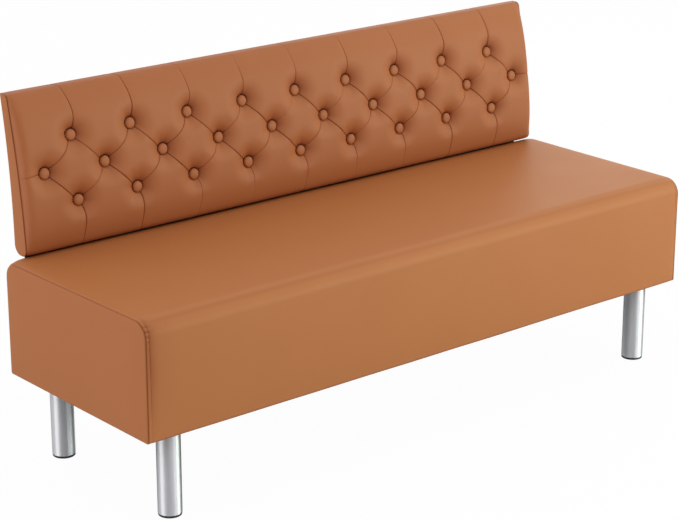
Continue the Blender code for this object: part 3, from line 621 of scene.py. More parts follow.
def pillow_panel(corners, ring, rises, inner, outer, side):
    """A panel in the y-z plane: rings of (offset from the edge, share of the way from inner x to outer x)."""
    bm = bmesh.new()
    painted_shade = bm.verts.layers.float.new("painted_shade")
    face = bm.faces.new([bm.verts.new((inner, y, z)) for y, z in corners])
    for offset, share in rises:
        for vertex in face.verts:
            # Painted shade along the panel's seam.
            vertex[painted_shade] = SEAM_SHADE * bell(offset, PANEL_HALF)
        bmesh.ops.inset_region(bm, faces=[face], thickness=0.0, use_boundary=True)
        for vertex, corner in zip(face.verts, corners):
            y, z = ring(corner, offset)
            vertex.co = (inner + (outer - inner) * share, y, z)
            vertex[painted_shade] = 0.0
    bmesh.ops.recalc_face_normals(bm, faces=bm.faces)
    if face.normal.x * side < 0:
        bmesh.ops.reverse_faces(bm, faces=bm.faces)
    return bm


def end_panels(part, corners, ring, rises, length, swell):
    for side_name, side in (("left", -1), ("right", 1)):
        end = side * length / 2
        bm = pillow_panel(corners, ring, rises, end - side * (LEATHER + PANEL_LAP), end + side * swell, side)
        panel = make_piece(f"{part}_leather_end_{side_name}", bm, shaded_end_leather,
                           [f"{part}_end_panel_{side_name}"], sharp_above=70.0)
        add_thickness(panel, PANEL_LEATHER)
        print(panel.name, len(panel.data.polygons), "faces")


def seat_ring(corner, offset):
    half_y, half_z = SEAT_DEPTH / 2, (SEAT_TOP - SEAT_BOTTOM) / 2
    middle_y, middle_z = half_y, SEAT_BOTTOM + half_z
    y = middle_y + (corner[0] - middle_y) * (half_y - offset) / half_y
    return y, middle_z + (corner[1] - middle_z) * (half_z - offset) / half_z


def pillow_share(offset):
    """How far a panel has risen at a distance from its seam: a tight roll first, then a slow swell."""
    swell = 1 - (1 - offset / PILLOW_REACH) ** SWELL_POWER
    return ROLL_SHARE * (1 - math.exp(-offset / PILLOW_ROLL)) + (1 - ROLL_SHARE) * swell


ring_offsets = [mm / 1000 for mm in (0.4, 1.2, 2.4, 4.5, 8, 13, 20, 29, 40, 54, 66, 80)]
seat_rises = [(offset, pillow_share(offset)) for offset in ring_offsets]
end_panels("seat", seat_corners(), seat_ring, seat_rises, SEAT_LENGTH, PILLOW)

# %% [markdown]
# ## The back's outline
# Seen from its end the back is a thin, leaning wedge, bowed slightly forwards, with a small round at its
# top and toe. The wrap runs from under its lower edge, up the buttoned face and over the top to the rear
# seam. A length along that outline and a distance along the bench are all that is needed to lay out the
# buttons and pleats.


# %% Back outline
def back_share(z):
    return (z - BACK_BOTTOM) / (BACK_TOP - BACK_BOTTOM)


def back_rear(z):
    share = back_share(z)
    lean = (BACK_TOP - BACK_BOTTOM) * math.tan(BACK_LEAN) * share
    return BACK_REAR_BOTTOM + lean - BACK_BOW * 4 * share * (1 - share)


def back_seam(z):
    return back_rear(z) - BACK_BOTTOM_THICKNESS - (BACK_TOP_THICKNESS - BACK_BOTTOM_THICKNESS) * back_share(z)


heel_top = BACK_BOTTOM + BACK_HEEL_RADIUS
heel_middle = back_rear(heel_top) - BACK_HEEL_RADIUS
toe_top, lip_bottom = BACK_BOTTOM + BACK_TOE_RADIUS, BACK_TOP - BACK_TOP_RADIUS
toe = arc((back_seam(toe_top) + BACK_TOE_RADIUS, toe_top), BACK_TOE_RADIUS, 270, 180, 10)
lip = arc((back_seam(lip_bottom) + BACK_TOP_RADIUS, lip_bottom), BACK_TOP_RADIUS, 180, 90, 10)
buttoned_face = [(back_seam(z), z) for _, z in line((0, toe_top), (0, lip_bottom), 60)]
front_corners = toe + buttoned_face + lip + [(back_rear(BACK_TOP), BACK_TOP)]
back_outline = Outline([(heel_middle, BACK_BOTTOM)] + front_corners)

ROW_CLEAR = 0.03
back_half, back_middle = BACK_LENGTH / 2 - LEATHER - SEWING_GAP, (BACK_BOTTOM + BACK_TOP) / 2
row_heights = {"top": BUTTON_ROW_SPACING, "middle": 0.0, "bottom": -BUTTON_ROW_SPACING}
row_lengths = {
    row: back_outline.length_at_height(back_middle + rise, ROW_CLEAR, back_outline.total - ROW_CLEAR)
    for row, rise in row_heights.items()
}
print("the back's wrap is cut", round(back_outline.total, 3), "m high; its rows lie at",
      {row: round(length, 3) for row, length in row_lengths.items()})

# %% [markdown]
# ## Buttons and pleats, laid out flat
# A tufted cover is marked out flat: three rows of buttons, the middle one set half a pitch over, and a
# pleat from each button to its neighbours. Spare leather in a pleat always lies to one side, so the pleats
# bow: those that fall to the right bow upwards, those that fall to the left bow downwards. Uprights run
# from the outer rows to the upper and lower edges, and one short pleat runs out to each end. No two are
# sewn quite alike, so each bow varies a little.

# %% Pleat layout
FALL_RIGHT_BOW, FALL_RIGHT_SKEW, BOW_SPREAD = -0.0035, 1.25, 0.0014
FALL_LEFT_BOW, FALL_LEFT_SKEW = 0.0065, 0.85
TOP_BOW, TOP_SWING, LOW_BOW, UPRIGHT_SPREAD = 0.007, 0.015, 0.011, 0.003
UPRIGHT_SKEW, UPRIGHT_EASE = 0.7, 0.4
END_BOW, END_DROOP = 0.001, 0.003
rng = random.Random(11)
rows = {}
for row, count in (("top", MIDDLE_BUTTONS - 1), ("middle", MIDDLE_BUTTONS), ("bottom", MIDDLE_BUTTONS - 1)):
    rows[row] = [Vector((BUTTON_PITCH * (i - (count - 1) / 2), row_lengths[row])) for i in range(count)]


def bowed_pleat(start, end, bow, skew):
    """A pleat from start to end as a function of the share of its length; a positive bow is to its left."""
    along = end - start
    across = Vector((-along.y, along.x)).normalized()
    return lambda share: start.lerp(end, share) + across * bow * math.sin(math.pi * share ** skew)


def upright_pleat(start, end, bow, swing):
    """A pleat to an edge of the back: it bows to the right beside its button and swings left at the edge."""
    def place(share):
        aside = bow * math.sin(math.pi * share ** UPRIGHT_SKEW) * (1 - share * UPRIGHT_EASE)
        return start.lerp(end, share) + Vector((aside - swing * share ** 3, 0))
    return place


def varied(bow, spread):
    return bow + rng.uniform(-1, 1) * spread


falls_right, falls_left, uprights = {}, {}, {}
for i in range(MIDDLE_BUTTONS - 1):
    high, low, left, right = rows["top"][i], rows["bottom"][i], rows["middle"][i], rows["middle"][i + 1]
    for row, button, to_right, to_left, edge, bow, swing in (
        ("top", high, (high, right), (high, left), back_outline.total, TOP_BOW, TOP_SWING),
        ("bottom", low, (left, low), (right, low), 0.0, LOW_BOW, 0.0),
    ):
        falls_right[row, i] = bowed_pleat(*to_right, varied(FALL_RIGHT_BOW, BOW_SPREAD), FALL_RIGHT_SKEW)
        falls_left[row, i] = bowed_pleat(*to_left, varied(FALL_LEFT_BOW, BOW_SPREAD), FALL_LEFT_SKEW)
        at_edge = Vector((button.x, edge))
        uprights[row, i] = upright_pleat(button, at_edge, varied(bow, UPRIGHT_SPREAD), swing)
end_pleats = {}
for side, button in ((-1, rows["middle"][0]), (1, rows["middle"][-1])):
    at_seam = Vector((side * back_half, row_lengths["middle"] - END_DROOP))
    end_pleats[side] = bowed_pleat(button, at_seam, END_BOW * side, 1.0)
print(2 * len(falls_right), "diagonal pleats,", len(uprights), "uprights,", len(end_pleats), "to the ends")

# %% [markdown]
# ## Dots along the pleats
# The leather's depth at a point depends on its distance from the nearest pleat. To find that quickly, the
# pleats are dotted closely and the dots are put in a search tree. Each dot also knows how strong its fold
# is: the pleats that fall to the right are sharp, the uprights are taut only near the ends, and a few
# others are faint.

# %% Strength of the pleats
DOT_SPACING, DOT_SPARE, TAUT_FROM, FAINT_FROM = 0.00025, 1.05, 0.4, 4
FADE_FIRST, FADE_LAST, FADE_HALF = 0.35, 0.65, 0.25
taut = [pleat for pleat in uprights.values() if abs(pleat(0.0).x) > TAUT_FROM]
slack = [pleat for pleat in uprights.values() if abs(pleat(0.0).x) <= TAUT_FROM]
faint = [pleat for (row, i), pleat in falls_left.items() if row == "top" and i >= FAINT_FROM]
clear = [pleat for (row, i), pleat in falls_left.items() if row == "bottom" or i < FAINT_FROM]
dots, dot_strength = [], []
for pleats, from_strength, to_strength, most_faded in (
    (falls_right.values(), 1.0, 0.95, 0.3), (clear, 0.9, 0.72, 0.6), (faint, 0.55, 0.35, 0.8),
    (taut, 1.0, 0.90, 0.2), (slack, 0.7, 0.45, 0.7), (end_pleats.values(), 0.7, 0.5, 0.0),
):
    for pleat in pleats:
        count = int((pleat(1.0) - pleat(0.0)).length * DOT_SPARE / DOT_SPACING)
        faded, faded_at = rng.uniform(0, most_faded), rng.uniform(FADE_FIRST, FADE_LAST)
        for i in range(count + 1):
            dots.append(pleat(i / count))
            kept = 1 - faded * bell(i / count - faded_at, FADE_HALF)
            dot_strength.append((from_strength + (to_strength - from_strength) * i / count) * kept)


def search_tree(spots):
    tree = kdtree.KDTree(len(spots))
    for i, spot in enumerate(spots):
        tree.insert((spot.x, spot.y, 0), i)
    tree.balance()
    return tree


dot_tree = search_tree(dots)
button_tree = search_tree([button for row in rows.values() for button in row])
print(len(dots), "dots mark the pleats")

# %% [markdown]
# ## How deep the leather lies
# Three things pull the padded face down: each button makes a round dimple, each pleat a soft valley, and
# the fold itself a narrow crease. Away from the rows the padding thins out to the edges, and so do the
# folds. Shade is painted into the creases, in a ring round each button and into each dimple's hollow, most
# of all on its upper right, the side turned away from the lamps.

# %% Depth of dimples, valleys and creases
BACK_PUFF, END_ROUNDING, PUFF_UP_POWER, PUFF_END_POWER = 0.021, 0.042, 4, 6
CREASE_DEPTH, CREASE_WIDTH, CREASE_LEAST = 0.0020, 0.0008, 0.40
SHOULDER_DEPTH, SHOULDER_WIDTH = 0.0005, 0.0050
VALLEY_SHARE, VALLEY_REACH, PLEAT_START, PLEAT_ONSET = 0.06, 0.030, 0.011, 0.004
DIMPLE_SHARE, DIMPLE_FLAT, DIMPLE_REACH, DIMPLE_POWER = 0.887, 0.0124, 0.046, 2.15
WALL_SHARE, WALL_REACH, WALL_POWER = 0.18, 0.0036, 1.5
RIPPLE_DEPTH, RIPPLE_COUNT, RIPPLE_SHIFT = 0.0003, 7, 9
# Painted shade: a ring round each button, the creases, and each dimple's hollow.
RING_SHADE, RING_AT, RING_HALF = 0.8, 0.0126, 0.0009
CREASE_SHADE, SHADE_WIDTH, SHADE_LEAST = 0.80, 0.0006, 0.5
HOLLOW_SHADE, HOLLOW_REACH, HOLLOW_LEAN, HOLLOW_TURN = 0.37, 0.027, 0.85, math.radians(55)


def fullness(x, z):
    inwards = clamped((back_half - abs(x)) / END_ROUNDING)
    return (1 - abs(2 * back_share(z) - 1) ** PUFF_UP_POWER) * (1 - (1 - inwards) ** PUFF_END_POWER)


def tuft_height(x, length, z):
    """How far the leather stands out from the back's plain outline, and how much shade is painted there."""
    (button, _, from_button), (_, _, from_next) = button_tree.find_n((x, length, 0), 2)
    beyond = max(0.0, from_button - DIMPLE_FLAT)
    bowls = [fading(away, DIMPLE_REACH, DIMPLE_POWER) for away in (beyond, from_next - DIMPLE_FLAT)]
    dimple = (1 - WALL_SHARE) * sum(bowl ** 3 for bowl in bowls) ** (1 / 3)
    dimple += WALL_SHARE * fading(beyond, WALL_REACH, WALL_POWER)
    _, nearest, from_pleat = dot_tree.find((x, length, 0))
    from_pleat = max(0.0, from_pleat - DOT_SPACING / 2)
    strength = dot_strength[nearest] * clamped((from_button - PLEAT_START) / PLEAT_ONSET)
    full = fullness(x, z)
    valley = VALLEY_SHARE * fading(from_pleat, VALLEY_REACH)
    crease = CREASE_DEPTH * bell(from_pleat, CREASE_WIDTH)
    crease += SHOULDER_DEPTH * math.exp(-from_pleat / SHOULDER_WIDTH)
    turn = math.atan2(length - button.y, x - button.x)
    waves = math.sin(RIPPLE_COUNT * turn + RIPPLE_SHIFT * button.x)
    ripple = RIPPLE_DEPTH * waves * dimple * (1 - dimple) * 4
    plump = BACK_PUFF * full * (1 - max(DIMPLE_SHARE * dimple, valley))
    height = plump + (ripple - crease * strength) * (CREASE_LEAST + (1 - CREASE_LEAST) * full)
    shade = CREASE_SHADE * bell(from_pleat, SHADE_WIDTH) * strength * (SHADE_LEAST + (1 - SHADE_LEAST) * full)
    shade = max(shade, RING_SHADE * bell(from_button - RING_AT, RING_HALF))
    # Painted shade in the dimple's hollow, heaviest on its upper right, the side turned away from the lamps.
    shadowed_side = 1 + HOLLOW_LEAN * math.cos(turn - HOLLOW_TURN)
    shade += HOLLOW_SHADE * shadowed_side * fading(beyond, HOLLOW_REACH)
    return height, min(1.0, shade)


diamond = tuft_height(0.0, row_lengths["middle"], back_middle)[0]
print("a diamond's middle stands", round(diamond * 1000, 1), "mm out")

# %% [markdown]
# ## The tufted face, cell by cell
# A single even grid would cut across the pleats and blur them. Here each cell of leather between pleats is
# its own grid, stretched between its four sides, with its lines crowded towards the folds. The cells share
# the points on their sides, so merging them sews the cover together.

# %% Stretching a cell
# Painted shade in the back's end seams.
BACK_SEAM_SHADE, BACK_SEAM_SINK = 0.72, 0.7
# Painted shade above the crevice: a dark edge, and a weaker, broader one further up the back.
TOE_SHADE, TOE_FADE, UNDER_SHADE, UNDER_FADE = 0.80, 0.0055, 0.23, 0.036
TOE_RISE, TOE_WITHIN = 0.004, 0.06
toe_length = back_outline.length_at_height(BACK_BOTTOM + TOE_RISE, 0.0, TOE_WITHIN)


def toe_shade(length):
    """Painted shade on the back's lower part, deepest at the crevice above the seat."""
    up = max(0.0, length - toe_length)
    return TOE_SHADE * math.exp(-up / TOE_FADE) + UNDER_SHADE * math.exp(-up / UNDER_FADE)


def tuft_point(x, length):
    (y, z), out = back_outline.at(length)
    height, shade = tuft_height(x, length, z)
    from_seam = back_half - abs(x)
    place = Vector((x, y, z)) + Vector((0, out.x, out.y)) * (height - seam_sink(from_seam) * BACK_SEAM_SINK)
    return place, max(shade, BACK_SEAM_SHADE * seam_shade(from_seam), toe_shade(length))


def add_cell(bm, across, up, low, high, left, right):
    """A grid stretched between four sides, each a function of a share; across and up place its lines."""
    painted_shade = bm.verts.layers.float["painted_shade"]
    for vertex, u, v in grid_vertices(bm, across, up):
        spot = low(u) * (1 - v) + high(u) * v + left(v) * (1 - u) + right(v) * u
        spot -= (low(0) * (1 - u) + low(1) * u) * (1 - v) + (high(0) * (1 - u) + high(1) * u) * v
        vertex.co, vertex[painted_shade] = tuft_point(spot.x, spot.y)


def backwards(side):
    return lambda share: side(1 - share)


def joined(first, second, bend=0.5):
    """Two sides run on one after the other; the bend is the share at which they meet."""
    return lambda share: first(share / bend) if share <= bend else second((share - bend) / (1 - bend))


def straight(start, end):
    return lambda share: start.lerp(end, share)


def mirrored(shares):
    return [1 - x for x in reversed(shares)]


print("the back's lower edge lies", round(toe_length * 1000, 1), "mm along the cut")

# %% [markdown]
# Between two columns of buttons lies a whole diamond. Above and below it are cells that run on to the edges
# of the back; their inner side follows two pleats, one after the other.

# %% Cells between the buttons
FOLD_STEPS, EDGE_STEPS, EDGE_POWER = 40, 46, 1.5
fold_shares = clustered(FOLD_STEPS)
double_fold = [x / 2 for x in fold_shares] + [0.5 + x / 2 for x in fold_shares[1:]]
edge_shares = [(i / EDGE_STEPS) ** EDGE_POWER for i in range(EDGE_STEPS + 1)]
bm = bmesh.new()
bm.verts.layers.float.new("painted_shade")
for i in range(MIDDLE_BUTTONS - 1):
    add_cell(bm, fold_shares, fold_shares, falls_right["bottom", i], falls_right["top", i],
             backwards(falls_left["top", i]), backwards(falls_left["bottom", i]))
for i in range(MIDDLE_BUTTONS - 2):
    left, right = uprights["top", i], uprights["top", i + 1]
    add_cell(bm, double_fold, edge_shares, joined(falls_right["top", i], backwards(falls_left["top", i + 1])),
             straight(left(1), right(1)), left, right)
    left, right = backwards(uprights["bottom", i]), backwards(uprights["bottom", i + 1])
    add_cell(bm, double_fold, mirrored(edge_shares), straight(left(0), right(0)),
             joined(backwards(falls_left["bottom", i]), falls_right["bottom", i + 1]), left, right)
print(len(bm.faces), "faces between the button columns")

# %% [markdown]
# The four cells at the ends are bounded by the end seam instead of a pleat. Their fourth side runs along a
# diagonal pleat and then on along an upright, so it has a bend in it. After that the cells are merged.

# %% End cells and the sewn cover
END_STEPS, BEND, MERGE_WITHIN = 16, 0.46, 2e-5
last = MIDDLE_BUTTONS - 2
end_reach = end_pleats[1](1).x - end_pleats[1](0).x
inside = 1 - SEAM_STEPS[-1] / end_reach
from_end = [step / end_reach for step in SEAM_STEPS]
from_end += [1 - inside * (1 - x) for x in clustered(END_STEPS)[1:]]
to_end = mirrored(from_end)
end_rise = [BEND * x for x in fold_shares] + [BEND + (1 - BEND) * x for x in edge_shares[1:]]
end_fall = mirrored(end_rise)

for side, column, shares in ((-1, 0, from_end), (1, last, to_end)):
    out = end_pleats[side]
    top, bottom = Vector((side * back_half, back_outline.total)), Vector((side * back_half, 0.0))
    upper = falls_left["top", column] if side < 0 else falls_right["top", column]
    lower = falls_right["bottom", column] if side < 0 else falls_left["bottom", column]
    rise, fall = uprights["top", column], uprights["bottom", column]
    above = joined(backwards(upper), rise, BEND), straight(out(1), top)
    below = joined(backwards(fall), backwards(lower), 1 - BEND), straight(bottom, out(1))
    if side < 0:
        add_cell(bm, shares, end_rise, backwards(out), straight(top, rise(1)), *above[::-1])
        add_cell(bm, shares, end_fall, straight(bottom, fall(1)), backwards(out), *below[::-1])
    else:
        add_cell(bm, shares, end_rise, out, straight(rise(1), top), *above)
        add_cell(bm, shares, end_fall, straight(fall(1), bottom), out, *below)
bmesh.ops.remove_doubles(bm, verts=bm.verts, dist=MERGE_WITHIN)
open_edges = sum(edge.is_boundary for edge in bm.edges)
tufted = make_piece("back_tufted_cover", bm, shaded_back_leather, ["back_cover"], sharp_above=180.0)
add_thickness(tufted, LEATHER, rim_only=True)
print(tufted.name, len(tufted.data.polygons), "faces,", open_edges, "edges round its rim")

# %% [markdown]
# ## End panels and rear panel of the back
# The ends are closed by narrow leather strips with the wedge's outline, made in the same way as the seat's.
# The rear is one smooth panel that turns forwards under the heel. It is pulled tight, so it is plain apart
# from its seams.

# %% Back end strips and rear panel
LEAST_HALF, TOP_CLEAR = 0.008, 0.006
REAR_END_SINK, REAR_TOP_SINK = 0.8, 0.5
STRIP_RISES = [(0.0004, 0.45), (0.0010, 0.70), (0.0020, 0.84), (0.0040, 0.93), (0.0065, 1.0)]
rear_face = [(back_rear(z), z) for _, z in line((0, BACK_TOP), (0, heel_top), 40)]
rear_corners = rear_face + arc((heel_middle, heel_top), BACK_HEEL_RADIUS, 0, -90, 10)


def back_ring(corner, offset):
    y, z = corner
    half_z = (BACK_TOP - BACK_BOTTOM) / 2
    middle = (back_rear(z) + back_seam(z)) / 2
    half = max(LEAST_HALF, (back_rear(z) - back_seam(z)) / 2)
    moved_z = back_middle + (z - back_middle) * (half_z - offset) / half_z
    moved_middle = (back_rear(moved_z) + back_seam(moved_z)) / 2
    return moved_middle + (y - middle) * (half - offset) / half, moved_z


end_panels("back", front_corners + rear_corners, back_ring, STRIP_RISES, BACK_LENGTH, 0.0)

rear_top = BACK_TOP - LEATHER - SEWING_GAP
below_top = [(y, z) for y, z in rear_corners if z < BACK_TOP - TOP_CLEAR]
rear_outline = Outline([(back_rear(rear_top), rear_top)] + below_top)


def rear_point(x, length):
    (y, z), out = rear_outline.at(length)
    sink = seam_sink(back_half - abs(x)) * REAR_END_SINK + seam_sink(length) * REAR_TOP_SINK
    return Vector((x, y, z)) - Vector((0, out.x, out.y)) * sink


# Painted shade in the rear panel's end seams.
def rear_shade(x, length):
    return seam_shade(back_half - abs(x))


bm = bent_sheet(rear_outline, sewn_columns(back_half), rear_point, rear_shade)
rear_panel = make_piece("back_leather_rear", bm, leather, ["back_rear_panel"])
add_thickness(rear_panel, LEATHER)
print(rear_panel.name, len(rear_panel.data.polygons), "faces")

# %% [markdown]
# ## Covered buttons
# A covered button is a shallow metal dome with leather pressed round it. Its profile is turned about its
# axis with a spin, and the button is then set on the floor of its dimple, square to the leaning face.

# %% Buttons
DOME_RADIUS, DOME_START, RIM_MIDDLE, RIM_RADIUS, FOOT_RADIUS = 0.90, 0.66, 0.34, 0.24, 0.80
FACING_REACH = 0.010


def turned(profile, steps=96):
    """A closed turned shape from a (radius, height) profile that starts and ends on the axis."""
    bm = bmesh.new()
    verts = [bm.verts.new((radius, 0, height)) for radius, height in profile]
    edges = [bm.edges.new(pair) for pair in zip(verts, verts[1:])]
    bmesh.ops.spin(bm, geom=verts + edges, cent=(0, 0, 0), axis=(0, 0, 1), angle=2 * math.pi, steps=steps,
                   use_merge=True)
    bmesh.ops.remove_doubles(bm, verts=bm.verts, dist=1e-6)
    bmesh.ops.recalc_face_normals(bm, faces=bm.faces)
    return bm


def aimed(bm, outwards, place):
    """Turns a shape's axis outwards and moves its foot to a place."""
    bmesh.ops.transform(bm, matrix=outwards.to_track_quat("Z", "Y").to_matrix().to_4x4(), verts=bm.verts)
    bmesh.ops.translate(bm, vec=place, verts=bm.verts)
    return bm


def button_profile():
    turns = [math.pi / 2 * i / 9 for i in range(9)]
    dome = [(BUTTON_RADIUS * DOME_RADIUS * math.sin(a),
             BUTTON_HEIGHT * (DOME_START + (1 - DOME_START) * math.cos(a))) for a in turns]
    rim_radius = BUTTON_RADIUS * RIM_RADIUS
    rim = arc((BUTTON_RADIUS - rim_radius, BUTTON_HEIGHT * RIM_MIDDLE), rim_radius, 75, -75, 8)
    return dome + rim + [(BUTTON_RADIUS * FOOT_RADIUS, 0.0), (0.0, 0.0)]


for row, spots in rows.items():
    for number, spot in enumerate(spots, 1):
        node = f"button_{row}_{number:02d}"
        low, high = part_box(node)
        below, above = (tuft_point(spot.x, spot.y + step)[0] for step in (-FACING_REACH, FACING_REACH))
        outwards = Vector((1, 0, 0)).cross((above - below).normalized())
        bm = aimed(turned(button_profile(), 40), outwards, (low + high) / 2 - outwards * BUTTON_HEIGHT / 2)
        button = make_piece(f"covered_{node}", bm, shaded_back_leather, [node], moved=False,
                            sharp_above=60.0)
print(sum(map(len, rows.values())), "buttons of", len(button.data.polygons), "faces")

# %% [markdown]
# ## Tube legs
# Each leg is a chromed tube with a cap and a stud welded into its upper end, and a tapped plate a little
# way up inside its lower end. The whole leg is one turned profile; tiny rounds at the tube's ends catch the
# light.

# %% Legs
CORNERS = ["front_left", "front_right", "rear_left", "rear_right"]
LEG_TOP, LEG_BOTTOM, LEG_RADIUS, LEG_WALL = 0.1886, 0.0054, 0.025, 0.0015
STUD_RADIUS, STUD_LENGTH, CAP_THICKNESS = 0.004, 0.024, 0.004
PLATE_DEPTH, PLATE_THICKNESS, TAPPED_RADIUS = 0.002, 0.004, 0.0044
ROUND = 0.0006


def leg_profile():
    bore = LEG_RADIUS - LEG_WALL
    plate_low = LEG_BOTTOM + PLATE_DEPTH
    return [
        (0, LEG_TOP + STUD_LENGTH), (STUD_RADIUS - ROUND, LEG_TOP + STUD_LENGTH),
        (STUD_RADIUS, LEG_TOP + STUD_LENGTH - ROUND), (STUD_RADIUS, LEG_TOP),
        *arc((LEG_RADIUS - ROUND, LEG_TOP - ROUND), ROUND, 90, 0, 4),
        *arc((LEG_RADIUS - ROUND, LEG_BOTTOM + ROUND), ROUND, 0, -90, 4),
        (bore, LEG_BOTTOM), (bore, plate_low), (TAPPED_RADIUS, plate_low),
        (TAPPED_RADIUS, plate_low + PLATE_THICKNESS), (bore, plate_low + PLATE_THICKNESS),
        (bore, LEG_TOP - CAP_THICKNESS), (0, LEG_TOP - CAP_THICKNESS),
    ]


def middle_of(node):
    low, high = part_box(node)
    return Vector(((low.x + high.x) / 2, (low.y + high.y) / 2, 0))


for corner_name in CORNERS:
    bm = turned(leg_profile())
    bmesh.ops.translate(bm, vec=middle_of(f"leg_{corner_name}"), verts=bm.verts)
    leg = make_piece(f"tube_leg_{corner_name}", bm, chrome, [f"leg_{corner_name}"],
                     moved=False, sharp_above=30.0)
print("legs of", len(leg.data.polygons), "faces, at",
      [tuple(round(x, 3) for x in middle_of(f"leg_{c}")[:2]) for c in CORNERS])

# %% [markdown]
# ## Levelling glides
# A glide is a moulded foot on a threaded stem that screws up into its leg, so it slides along its own
# body's joint. The thread is a small triangle, spun round the stem while it climbs one pitch a turn.

# %% Glides with their threads
GLIDE_RADIUS, GLIDE_HEIGHT, STEM_RADIUS, STEM_LENGTH, STEM_POINT = 0.0245, 0.005, 0.004, 0.034, 0.0008
FOOT_ROUND, RIM_ROUND, FOOT_LAND, FOOT_SLOPE, FOOT_HOLLOW = 0.0016, 0.0008, 0.006, 0.001, 0.0006
THREAD_PITCH, THREAD_DEPTH, THREAD_STEPS, THREAD_START, THREAD_MARGIN = 0.00125, 0.0006, 20, 0.001, 0.004
THREAD_ROOT, THREAD_HALF = 1.1, 0.42


def glide_profile():
    core, top, land = STEM_RADIUS - THREAD_DEPTH, GLIDE_HEIGHT + STEM_LENGTH, GLIDE_RADIUS - FOOT_LAND
    foot = arc((GLIDE_RADIUS - FOOT_ROUND, FOOT_ROUND), FOOT_ROUND, 0, -90, 6)
    rim = arc((GLIDE_RADIUS - RIM_ROUND, GLIDE_HEIGHT - RIM_ROUND), RIM_ROUND, 90, 0, 4)
    return [(0, top), (core - ROUND, top), (core, top - STEM_POINT), (core, GLIDE_HEIGHT), *rim, *foot,
            (land, 0.0), (land - FOOT_SLOPE, FOOT_HOLLOW), (0, FOOT_HOLLOW)]


def add_thread(bm):
    turns = int((STEM_LENGTH - THREAD_MARGIN) / THREAD_PITCH)
    core, half = STEM_RADIUS - THREAD_DEPTH * THREAD_ROOT, THREAD_PITCH * THREAD_HALF
    start = GLIDE_HEIGHT + THREAD_START
    section = ((core, 0, start), (STEM_RADIUS, 0, start + half), (core, 0, start + 2 * half))
    ridge = [bm.verts.new(p) for p in section]
    face = bm.faces.new(ridge)
    bmesh.ops.spin(bm, geom=[face, *face.edges, *ridge], cent=(0, 0, 0), axis=(0, 0, 1),
                   dvec=(0, 0, THREAD_PITCH / THREAD_STEPS), angle=2 * math.pi * turns,
                   steps=turns * THREAD_STEPS)
    return turns


for corner_name in CORNERS:
    bm = turned(glide_profile(), 72)
    turns = add_thread(bm)
    bmesh.ops.recalc_face_normals(bm, faces=bm.faces)
    bmesh.ops.translate(bm, vec=middle_of(f"glide_{corner_name}"), verts=bm.verts)
    glide = make_piece(f"levelling_{corner_name}", bm, plastic, [f"glide_{corner_name}"],
                       body=f"glide_{corner_name}", moved=False, sharp_above=35.0)
print("glides of", len(glide.data.polygons), "faces, threaded with", turns, "turns")

# %% [markdown]
# ## Bars behind the back
# Three flat steel bars carry the back. Each is bolted to the rear rail of the seat, steps back to the rear
# of the back and runs up along it. A bar is one section pushed out to its width, and a bevel softens its
# edges. A fourth bar lies along the others' step and closes the crevice below the back.

# %% Bars
BAR_WIDTH, BAR_THICKNESS, BAR_GAP, BAR_REACH, BAR_STEP = 0.040, 0.005, 0.0004, 0.140, 0.006
BAR_ROUND, SHARP_EDGE = 0.0009, math.radians(60)
BOLT_SPACING, BOLT_MARGIN, RAIL_HEIGHT = 0.060, 0.022, 0.150
rail_middle = SEAT_BOTTOM + LEATHER + SEWING_GAP + RAIL_HEIGHT / 2
bar_top = heel_top + BAR_REACH
seat_bolts = [rail_middle - BOLT_SPACING / 2, rail_middle + BOLT_SPACING / 2]
back_bolts = [bar_top - BOLT_MARGIN - BOLT_SPACING, bar_top - BOLT_MARGIN]
seat_face = SEAT_DEPTH + BAR_GAP
low_bend = (seat_face, SEAT_TOP - SEAT_REAR_RADIUS - BAR_STEP)
high_bend = (back_rear(heel_top) + BAR_GAP, heel_top - BAR_STEP)
bar_heights = [heel_top + BAR_REACH * i / 12 for i in range(13)]
bar_face = [(seat_face, seat_bolts[0] - BOLT_MARGIN), low_bend, high_bend]
bar_face += [(back_rear(z) + BAR_GAP, z) for z in bar_heights]


def soften(bm, edges):
    bmesh.ops.bevel(bm, geom=edges, offset=BAR_ROUND, affect="EDGES", segments=3, profile=0.5, material=-1)
    return bm


def bar_mesh(middle):
    bm = bmesh.new()
    section = bar_face + [(y + BAR_THICKNESS, z) for y, z in reversed(bar_face)]
    end = bm.faces.new([bm.verts.new((middle - BAR_WIDTH / 2, y, z)) for y, z in section])
    grown = bmesh.ops.extrude_face_region(bm, geom=[end])["geom"]
    far_end = [g for g in grown if isinstance(g, bmesh.types.BMVert)]
    bmesh.ops.translate(bm, vec=(BAR_WIDTH, 0, 0), verts=far_end)
    bmesh.ops.recalc_face_normals(bm, faces=bm.faces)
    return soften(bm, [e for e in bm.edges if e.calc_face_angle(0) > SHARP_EDGE])


def cross_bar_mesh(low, high):
    """The bar along the bars' step: its solid's box holds its height, its ends and its slope."""
    (low_y, low_z), (high_y, high_z) = low_bend, high_bend
    bm = bmesh.new()
    bmesh.ops.create_cube(bm, size=1.0)
    for vertex in bm.verts:
        x, y, z = vertex.co
        z = low.z + (high.z - low.z) * (z + 0.5)
        rear = low_y + (high_y - low_y) * (z - low_z) / (high_z - low_z) - BAR_GAP
        vertex.co = (low.x + (high.x - low.x) * (x + 0.5), rear - BAR_THICKNESS * (0.5 - y), z)
    return soften(bm, bm.edges[:])


bm = cross_bar_mesh(*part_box("back_cross_bar"))
cross_bar = make_piece("cross_bar", bm, painted_steel, ["back_cross_bar"], sharp_above=35.0)
print(cross_bar.name, len(cross_bar.data.polygons), "faces")

# %% [markdown]
# The bolts are turned button heads, and the round wall of each socket is pushed out into six flats. A bar's
# faces keep the first finish and its bolts' faces get the second one, so each bolt says which it has before
# it joins its bar.

